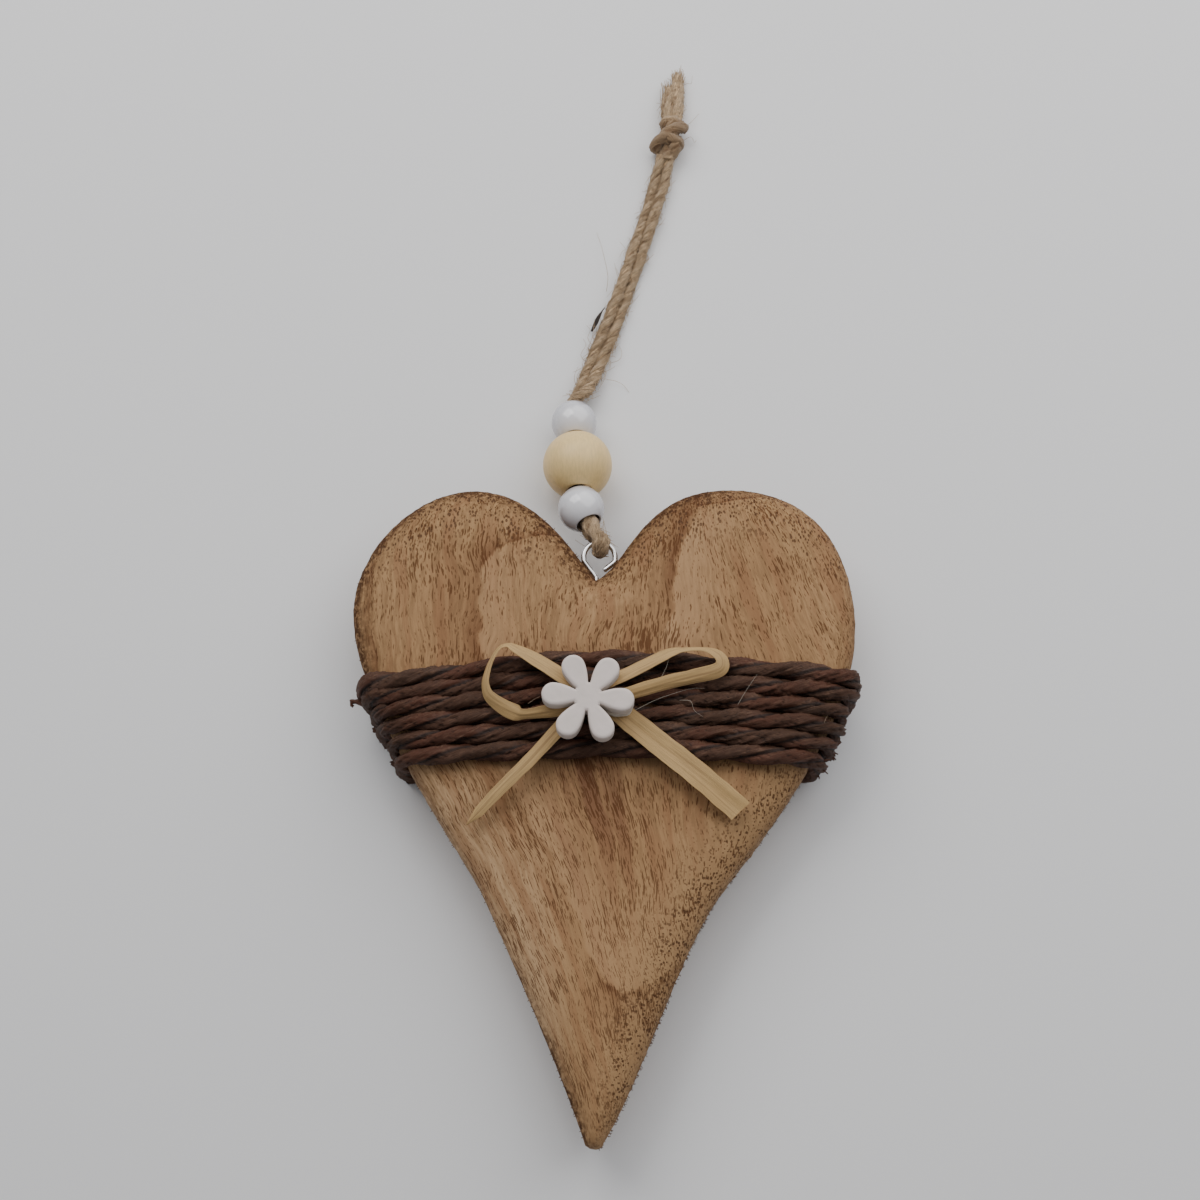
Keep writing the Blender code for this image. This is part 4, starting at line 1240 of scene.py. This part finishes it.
# The knot's core and the two tails, as places near the knot
KNOT_STRANDS = [
    [(-5.6, 0.4, -1.2), (-2.4, 0.2, -0.5), (1.5, 0.0, -0.2), (5.0, -0.4, -0.8)],
    [(3.6, -1.1, -0.6), (6.4, -1.9, -1.0), (9.8, -2.6, -1.3), (14.2, -3.0, -1.6)],
    [(3.6, 0.5, -0.5), (7.0, 0.1, -0.9), (12.0, -0.9, -1.3), (17.9, -1.9, -1.6)],
]


def make_jute(material, sizes):
    """The two legs of the doubled cord, the knot and the two tails."""
    radius = sizes.jute_strand / 2
    shape = dict(sides=26, plies=2, lay=sizes.jute_lay, groove=0.30, rough=0.24, fold=(4.2, 4.4), hand=1.0)
    legs, routes = [], []
    for side, name, replaced in ((1, "jute_leg_upper", ("jute_loop",)), (-1, "jute_leg_lower", ())):
        line = catmull(leg_points(side), JUTE_STEP)
        legs.append(strand_object(
            name, line, material, replaced, "jute", JUTE_GAP, radius=radius, seed=3.0 + side,
            width=lambda s: 1 + 0.45 * (1 - min(1.0, max(0.0, (s - 0.008) / 0.006))), **shape,
        ))
        routes.append(line)
    under = knot_route(0, -3.9, 0.75, 1.06, 0.9, -0.9)
    over = knot_route(180, -2.9, -0.50, 0.84, -0.9, 0.7)
    core, *tails = [np.array([knot_spot(*place) for place in route]) for route in KNOT_STRANDS]
    loose = dict(shape, lay=0.040, groove=0.10, rough=0.30, taper=0.0035)
    pieces = []
    for name, route, replaced, thick, seed, form in (
        ("jute_knot_wrap", under, (), 1.24, 9.0, shape),
        ("jute_overhand_knot", over, ("jute_knot",), 1.24, 10.0, shape),
        ("jute_knot_core", core, (), 1.5, 11.0, shape),
        ("jute_tail_left_end", tails[0], ("jute_tail_left",), 1.22, 15.0, loose),
        ("jute_tail_right_end", tails[1], ("jute_tail_right",), 1.22, 16.0, loose),
    ):
        pieces.append(strand_object(
            name, catmull(route, JUTE_STEP), material, replaced, "jute", JUTE_GAP,
            radius=radius * thick, seed=seed, **form,
        ))
    return legs, routes, tails, pieces


# Hairs and fibres

def hair_mesh(name, hairs, material, slot, thickness):
    """Many thin curved hairs as one mesh. A hair is a list of points."""
    verts, faces = [], []
    angles = np.radians((90, 210, 330))
    for points in hairs:
        line = catmull(points, max(0.0004, np.linalg.norm(np.diff(points, axis=0), axis=1).sum() / 9))
        first, second = frames_along(line, (0.3, 0.2, 0.9))
        rows = []
        for index, centre in enumerate(line):
            thin = thickness / 2 * (1 - 0.55 * index / len(line))
            rows.append(centre + thin * ring(first[index], second[index], angles))
        rows = np.array(rows)
        rows[:, :, 2] = np.maximum(rows[:, :, 2], SMALL_GAP)
        base = len(verts)
        verts += [tuple(v) for v in rows.reshape(-1, 3)] + [tuple(rows[0].mean(0)), tuple(rows[-1].mean(0))]
        faces += loft_faces(len(rows), 3, base)
    return add_mesh(name, verts, faces, material, None, (), slot)


def in_metres(hairs):
    return [np.array(points) * MM for points in hairs]


def make_fibres(material, sizes, routes, tails):
    """Single fibres that lie along the strands and lift at their ends, and the tails' frayed brush."""
    chance = random.Random(11)
    hairs = []
    for route in routes:
        first, second = frames_along(route)
        length = length_along(route)
        total = length[-1]
        for _ in range(170):
            past_beads = chance.random() < 0.86
            start = chance.uniform(0.030, total - 0.006) if past_beads else chance.uniform(0.0, 0.006)
            reach = chance.uniform(0.005, 0.013)
            angle = chance.uniform(0, 2 * math.pi)
            lift = chance.choice((0.02, 0.04, 0.05, 0.10, 0.35)) * MM
            radius = sizes.jute_strand / 2 * chance.uniform(0.97, 1.05)
            points = []
            for share in np.linspace(0, 1, 7):
                place = min(total, start + reach * share)
                index = min(int(np.searchsorted(length, place)), len(route) - 1)
                turn = angle + 2 * math.pi * place / sizes.jute_lay
                out = math.cos(turn) * first[index] + math.sin(turn) * second[index]
                points.append(route[index] + out * (radius + lift * (abs(2 * share - 1) ** 3) * 2))
            hairs.append(np.array(points))
    brush = []
    for route in tails:
        end = route[-1]
        direction = unit(end - route[-2])
        across = np.cross(direction, (0, 0, 1))
        for _ in range(120):
            aside, up = chance.gauss(0, 0.55) * MM, chance.gauss(0, 0.40) * MM
            back = chance.uniform(2.0, 9.0) * MM
            root = end - direction * back + across * aside * 0.9 + np.array((0, 0, up))
            reach = back + chance.gauss(0.4, 0.9) * MM
            bend = across * chance.gauss(0, 0.35) * MM + np.array((0, 0, chance.gauss(0, 0.2) * MM))
            brush.append(np.array([
                root + direction * reach * share + across * aside * 0.5 * share + bend * share * share
                for share in np.linspace(0, 1, 5)
            ]))
    fibres = hair_mesh("jute_fibres", hairs, material, "jute", 0.00016)
    return [fibres, hair_mesh("jute_tail_brush", brush, material, "jute", 0.00022)]


# Single long hairs of the jute that can be told apart in the photograph, in millimetres
LONG_HAIRS = [
    [(0.6, 121.0, 1.2), (1.0, 124.5, 1.6), (0.2, 129.0, 1.8), (-0.6, 133.0, 1.2), (-1.6, 136.6, 0.6)],
    [(0.8, 98.9, 1.2), (2.5, 98.7, 1.0), (4.4, 97.8, 0.7), (5.7, 96.2, 0.2)],
    [(-2.4, 103.0, 1.6), (-4.4, 103.6, 1.4), (-5.2, 105.2, 1.2), (-4.0, 107.6, 0.9), (-4.7, 109.4, 0.5)],
    [(-2.2, 106.5, 1.6), (-3.6, 109.0, 1.6), (-3.0, 111.2, 1.2), (-3.9, 112.6, 0.8)],
    [(1.6, 103.0, 1.2), (3.6, 104.0, 0.9), (4.1, 106.0, 0.7), (3.4, 107.8, 0.4)],
    [(18.6, 160.0, 2.0), (20.6, 161.4, 1.6), (21.4, 160.2, 0.9), (21.9, 161.2, 0.5)],
    [(18.2, 163.4, 2.2), (20.4, 165.2, 1.4), (22.6, 168.4, 0.5)],
]


def make_fuzz(material, sizes, routes, tails):
    """Loose hairs along the jute, thicker at the beads, the knot and the tails."""
    chance = random.Random(7)
    lines = [catmull(route, 0.001) for route in routes + tails]
    hairs = []
    for index in range(sizes.fuzz_count):
        line = lines[0] if index % 5 < 2 else lines[1] if index % 5 < 4 else lines[2 + index % 2]
        spot = chance.randrange(3, len(line) - 3)
        if index % 5 < 4 and 8 < spot < 42:
            spot = chance.choice((chance.randrange(2, 7), chance.randrange(43, 62)))
        here = line[spot]
        direction = unit(line[spot + 1] - line[spot - 1])
        angle = chance.uniform(0, 2 * math.pi)
        out = level_across(direction) * math.cos(angle) + np.array((0, 0, 1.0)) * abs(math.sin(angle)) * 0.7
        reach = chance.uniform(0.7, 2.6) * MM * (2.2 if chance.random() < 0.08 else 1.0)
        lean = chance.uniform(-1.8, 1.8)
        start = here + out * sizes.jute_strand * 0.42
        points = [start]
        for step in (1, 2, 3):
            share = step / 3
            bend = np.array([chance.uniform(-0.25, 0.25) for _ in range(3)])
            points.append(start + (out * 0.55 + direction * lean * share + bend) * reach * share)
        hairs.append(np.array(points))
    return hair_mesh("jute_fuzz", hairs + in_metres(LONG_HAIRS), material, "jute", 0.00013)


def make_bark(material):
    """The small dark bit of bark caught in the cord."""
    bits = []
    for drift in (-0.30, 0.0, 0.30):
        bits.append([
            (-2.8, 111.0, 1.0), (-2.0 + drift, 112.5, 1.4), (-1.2 + drift, 114.2, 1.8), (-0.3, 115.7, 2.1),
            (0.3, 116.5, 2.0),
        ])
    return hair_mesh("bark_bit", in_metres(bits), material, "jute", 0.00055)


def make_splinters(material):
    """Short splinters that stand off the heart's sawn outline."""
    chance = random.Random(5)
    root = 0.00012
    outline = even(heart_outline(FINE_STEPS), 0.0006)
    hairs = []
    for _ in range(900):
        index = chance.randrange(1, len(outline) - 1)
        x, y = outline[index]
        low_right = x > AXIS_X and y < 0.006
        upper_left = x < AXIS_X - 0.02 and y > 0.030
        crown = y > 0.050
        if chance.random() > (1.0 if low_right else 0.75 if upper_left or crown else 0.30):
            continue
        if WRAP_LOW.y + 0.001 < y < WRAP_HIGH.y - 0.001:
            continue
        line = unit(outline[index + 1] - outline[index - 1])
        out = np.array((line[1], -line[0]))
        z = chance.uniform(HEART_LOW.z + 0.004, HEART_HIGH.z - 0.0052)
        reach = chance.uniform(0.10, 0.42) * MM * (1.2 if low_right else 0.9)
        slant = chance.uniform(-0.6, 0.6)
        start = np.array((x, y)) - out * root
        points = []
        for share in (0.0, 0.5, 1.0):
            flat = start + (out + line * slant * share) * (reach + root) * share
            points.append((*flat, z + 0.0001 * slant * share))
        hairs.append(np.array(points))
    return hair_mesh("edge_splinters", hairs, material, "heart_wood", 0.00020)


# Small traces of the making, as (x, y, height over the winding's top) in millimetres

GLUE_THREADS = [
    [(5.8, 16.5, 1.0), (10.5, 19.0, 0.6), (17.0, 21.2, 0.4), (20.0, 21.4, 0.0)],
    [(15.0, 19.0, 0.0), (17.2, 18.6, 0.7), (17.8, 16.8, 0.6), (19.6, 15.6, 0.0)],
    [(11.0, 22.5, 2.0), (12.5, 25.5, 2.4), (12.8, 27.5, 2.0)],
    [(26.5, 18.0, 0.0), (28.2, 20.8, 0.5), (30.5, 24.2, 0.4)],
]
LOOSE_FIBRES = [
    [(-43.2, 23.6, -3.0), (-42.4, 22.8, -2.4), (-41.5, 21.9, -1.8)],
    [(-15.2, 18.2, 0.0), (-14.0, 19.0, 0.3), (-12.8, 19.6, 0.4)],
    [(45.2, 18.8, -4.0), (44.8, 17.0, -3.2), (44.0, 15.2, -3.0), (44.1, 13.6, -4.0)],
]


def make_traces(glue, hair):
    """Set glue under the flower, glue threads and a few loose hairs on the winding."""
    centre = np.array((0.0030, 0.0168, BOW_TOP - 0.0003))
    rows = []
    for k in range(13):
        level = -1 + 2 * k / 12
        size = math.sqrt(max(0.0004, 1 - level * level))
        row = []
        for j in range(28):
            angle = 2 * math.pi * j / 28
            wobble = 1 + 0.25 * wave(math.cos(angle) * 1.4, math.sin(angle) * 1.4, level)
            across = 0.0030 * size * wobble * math.cos(angle)
            along = 0.0019 * size * wobble * math.sin(angle)
            row.append(centre + np.array((across, along, 0.0008 * level)))
        rows.append(row)
    loft("glue_bead", rows, glue, slot="flower_paint")
    top = np.array((0, 0, WRAP_HIGH.z))
    threads = [top + thread for thread in in_metres(GLUE_THREADS)]
    fibres = [top + fibre for fibre in in_metres(LOOSE_FIBRES)]
    hair_mesh("glue_threads", threads, glue, "flower_paint", 0.00009)
    hair_mesh("loose_fibres", fibres, hair, "jute", 0.00014)


def make_frays(material, line):
    """Torn paper at the winding's edges: a curl at the left and loose ends low on the right."""
    chance = random.Random(31)
    x, y, z = line[:, 0], line[:, 1], line[:, 2]
    spot = line[(x < -0.045) & (abs(y - 0.0215) < 0.0020) & (abs(z - 0.012) < 0.003)].mean(0)
    curl = [
        [(-0.6, 0.2, 0.0), (-1.9, 0.7, 0.3), (-3.2, 0.6, 0.2), (-4.0, 0.2, 0.0), (-3.4, -0.3, -0.1)],
        [(-0.6, -0.2, 0.3), (-2.0, 0.2, 0.5), (-3.4, 0.7, 0.5), (-4.1, 0.8, 0.3)],
    ]
    hair_mesh("paper_curl", [spot + points for points in in_metres(curl)], material, "wrap_paper", 0.0014)
    frays = []
    torn = line[(x > 0.036) & (y < 0.0125) & (z > 0.006) & (z < 0.016)]
    for _ in range(14):
        place = torn[chance.randrange(len(torn))]
        out = unit(np.array((1.0, chance.uniform(-1.0, 0.5), chance.uniform(-0.5, 0.3))))
        reach = chance.uniform(0.1, 0.9)
        bend = np.array([chance.uniform(-0.5, 0.5) for _ in range(3)])
        frays.append(np.array([
            place + out * 0.0010,
            place + (out * (1.6 + reach * 0.5) + bend * 0.5) * MM,
            place + (out * (1.6 + reach) + bend) * MM,
        ]))
    hair_mesh("paper_frays", frays, material, "wrap_paper", 0.00046)


# The stage

def add_object(name, data):
    made = bpy.data.objects.new(name, data)
    bpy.context.scene.collection.objects.link(made)
    return made


def make_floor():
    """A wide pale floor."""
    looks = Looks("pale_floor")
    tone = looks.place.noise(0.01, 2.0).blend((0.80, 0.80, 0.805), (0.82, 0.82, 0.82))
    size = 1.5
    corners = [(-size, -size, 0), (size, -size, 0), (size, size, 0), (-size, size, 0)]
    mesh = bpy.data.meshes.new("floor")
    mesh.from_pydata(corners, [], [(0, 1, 2, 3)])
    mesh.materials.append(looks.finish(tone, 0.75))
    add_object("floor", mesh)


def make_lights():
    """A faint even light all round, and two wide soft lights from above."""
    world = bpy.context.scene.world or bpy.data.worlds.new("soft_room")
    bpy.context.scene.world = world
    world.use_nodes = True
    background = world.node_tree.nodes["Background"]
    background.inputs["Color"].default_value = (0.93, 0.95, 1.0, 1)
    background.inputs["Strength"].default_value = 0.31
    for name, location, aimed, power, extent, colour in (
        ("window", (-0.38, 0.52, 0.62), (0.0, 0.03, 0.0), 3.7, 0.60, (1.0, 0.985, 0.970)),
        ("ceiling", (0.30, 0.48, 0.40), (0.17, 0.28, 0.0), 4.4, 0.90, (1.0, 0.99, 0.985)),
    ):
        light = bpy.data.lights.new(name, "AREA")
        light.energy = power
        light.size = extent
        light.color = colour
        lamp = add_object(name, light)
        lamp.location = location
        lamp.rotation_euler = (Vector(aimed) - Vector(location)).to_track_quat("-Z", "Y").to_euler()


def make_camera():
    """The photograph's camera."""
    lens = bpy.data.cameras.new("photo_camera")
    lens.sensor_width = 36
    lens.lens = 18 / math.tan(CAMERA_FIELD / 2)
    lens.clip_start = 0.01
    camera = add_object("photo_camera", lens)
    back = Vector((0, -math.sin(CAMERA_TILT), math.cos(CAMERA_TILT)))
    camera.location = CAMERA_TARGET + back * CAMERA_DISTANCE
    camera.rotation_euler = (CAMERA_TILT, 0, 0)
    bpy.context.scene.camera = camera


# Operators, one for each piece or group of like pieces

class DECOR_OT_stage(bpy.types.Operator):
    """Add the floor, the lights and the camera"""

    bl_idname = "heart_decor.stage"
    bl_label = "Stage and camera"

    def execute(self, context):
        make_floor()
        make_lights()
        make_camera()
        return {"FINISHED"}


class DECOR_OT_beads(bpy.types.Operator):
    """Turn the three beads"""

    bl_idname = "heart_decor.beads"
    bl_label = "Beads"

    def execute(self, context):
        white = lacquer_material()
        make_bead("bead_lower_white", white, "bead_white")
        make_bead("bead_middle_natural", natural_material(context.scene.decor_colours), "bead_natural")
        make_bead("bead_upper_white", white, "bead_white")
        return {"FINISHED"}


class DECOR_OT_jute(bpy.types.Operator):
    """Lay the jute cord with its knot, tails and hairs"""

    bl_idname = "heart_decor.jute"
    bl_label = "Jute cord"

    def execute(self, context):
        sizes = context.scene.decor_sizes
        legs, routes, tails, pieces = make_jute(jute_material(context.scene.decor_colours), sizes)
        hair = hair_material("jute_hair", (0.44, 0.31, 0.185))
        pieces += make_fibres(hair, sizes, routes, tails)
        pieces.append(make_fuzz(hair, sizes, routes, tails))
        pieces.append(make_bark(hair_material("dark_bark", (0.045, 0.032, 0.024))))
        pieces += [bpy.data.objects[name + "_turned"] for name in BEAD_NAMES]
        return {"FINISHED"}


class DECOR_OT_heart(bpy.types.Operator):
    """Cut the wooden heart"""

    bl_idname = "heart_decor.heart"
    bl_label = "Wooden heart"

    def execute(self, context):
        make_heart(wood_material(context.scene.decor_colours))
        make_splinters(hair_material("wood_splinter", (0.16, 0.080, 0.036)))
        return {"FINISHED"}


class DECOR_OT_eye(bpy.types.Operator):
    """Bend the screw eye"""

    bl_idname = "heart_decor.eye"
    bl_label = "Screw eye"

    def execute(self, context):
        make_eye(steel_material())
        return {"FINISHED"}


class DECOR_OT_winding(bpy.types.Operator):
    """Wind the paper cord round the heart"""

    bl_idname = "heart_decor.winding"
    bl_label = "Paper cord winding"

    def execute(self, context):
        paper = paper_material(context.scene.decor_colours)
        make_frays(paper, make_winding(paper, context.scene.decor_sizes))
        return {"FINISHED"}


class DECOR_OT_bow(bpy.types.Operator):
    """Tie the raffia bow"""

    bl_idname = "heart_decor.bow"
    bl_label = "Raffia bow"

    def execute(self, context):
        make_bow(raffia_material(context.scene.decor_colours), context.scene.decor_sizes)
        return {"FINISHED"}


class DECOR_OT_flower(bpy.types.Operator):
    """Cut the flower and glue it on"""

    bl_idname = "heart_decor.flower"
    bl_label = "Flower and glue"

    def execute(self, context):
        make_flower(paint_material(context.scene.decor_colours))
        make_traces(glue_material(), hair_material("pale_fibre", (0.42, 0.32, 0.22)))
        return {"FINISHED"}


STEPS = (
    DECOR_OT_stage, DECOR_OT_beads, DECOR_OT_jute, DECOR_OT_heart,
    DECOR_OT_eye, DECOR_OT_winding, DECOR_OT_bow, DECOR_OT_flower,
)


class DECOR_PT_panel(bpy.types.Panel):
    """The pieces of the heart decor"""

    bl_idname = "DECOR_PT_panel"
    bl_label = "Heart Decor"
    bl_space_type = "VIEW_3D"
    bl_region_type = "UI"
    bl_category = "Heart Decor"

    def draw(self, context):
        for step in STEPS:
            self.layout.operator(step.bl_idname)
        for group in (context.scene.decor_sizes, context.scene.decor_colours):
            for key in group.bl_rna.properties.keys():
                if key not in ("rna_type", "name"):
                    self.layout.prop(group, key)


CLASSES = (DecorSizes, DecorColours) + STEPS + (DECOR_PT_panel,)


def register():
    for item in CLASSES:
        bpy.utils.register_class(item)
    bpy.types.Scene.decor_sizes = PointerProperty(type=DecorSizes)
    bpy.types.Scene.decor_colours = PointerProperty(type=DecorColours)


def unregister():
    del bpy.types.Scene.decor_colours
    del bpy.types.Scene.decor_sizes
    for item in reversed(CLASSES):
        bpy.utils.unregister_class(item)


def main():
    register()
    bpy.ops.heart_decor.stage()
    bpy.ops.heart_decor.beads()
    bpy.ops.heart_decor.jute()
    bpy.ops.heart_decor.heart()
    bpy.ops.heart_decor.eye()
    bpy.ops.heart_decor.winding()
    bpy.ops.heart_decor.bow()
    bpy.ops.heart_decor.flower()


if __name__ == "__main__":
    main()
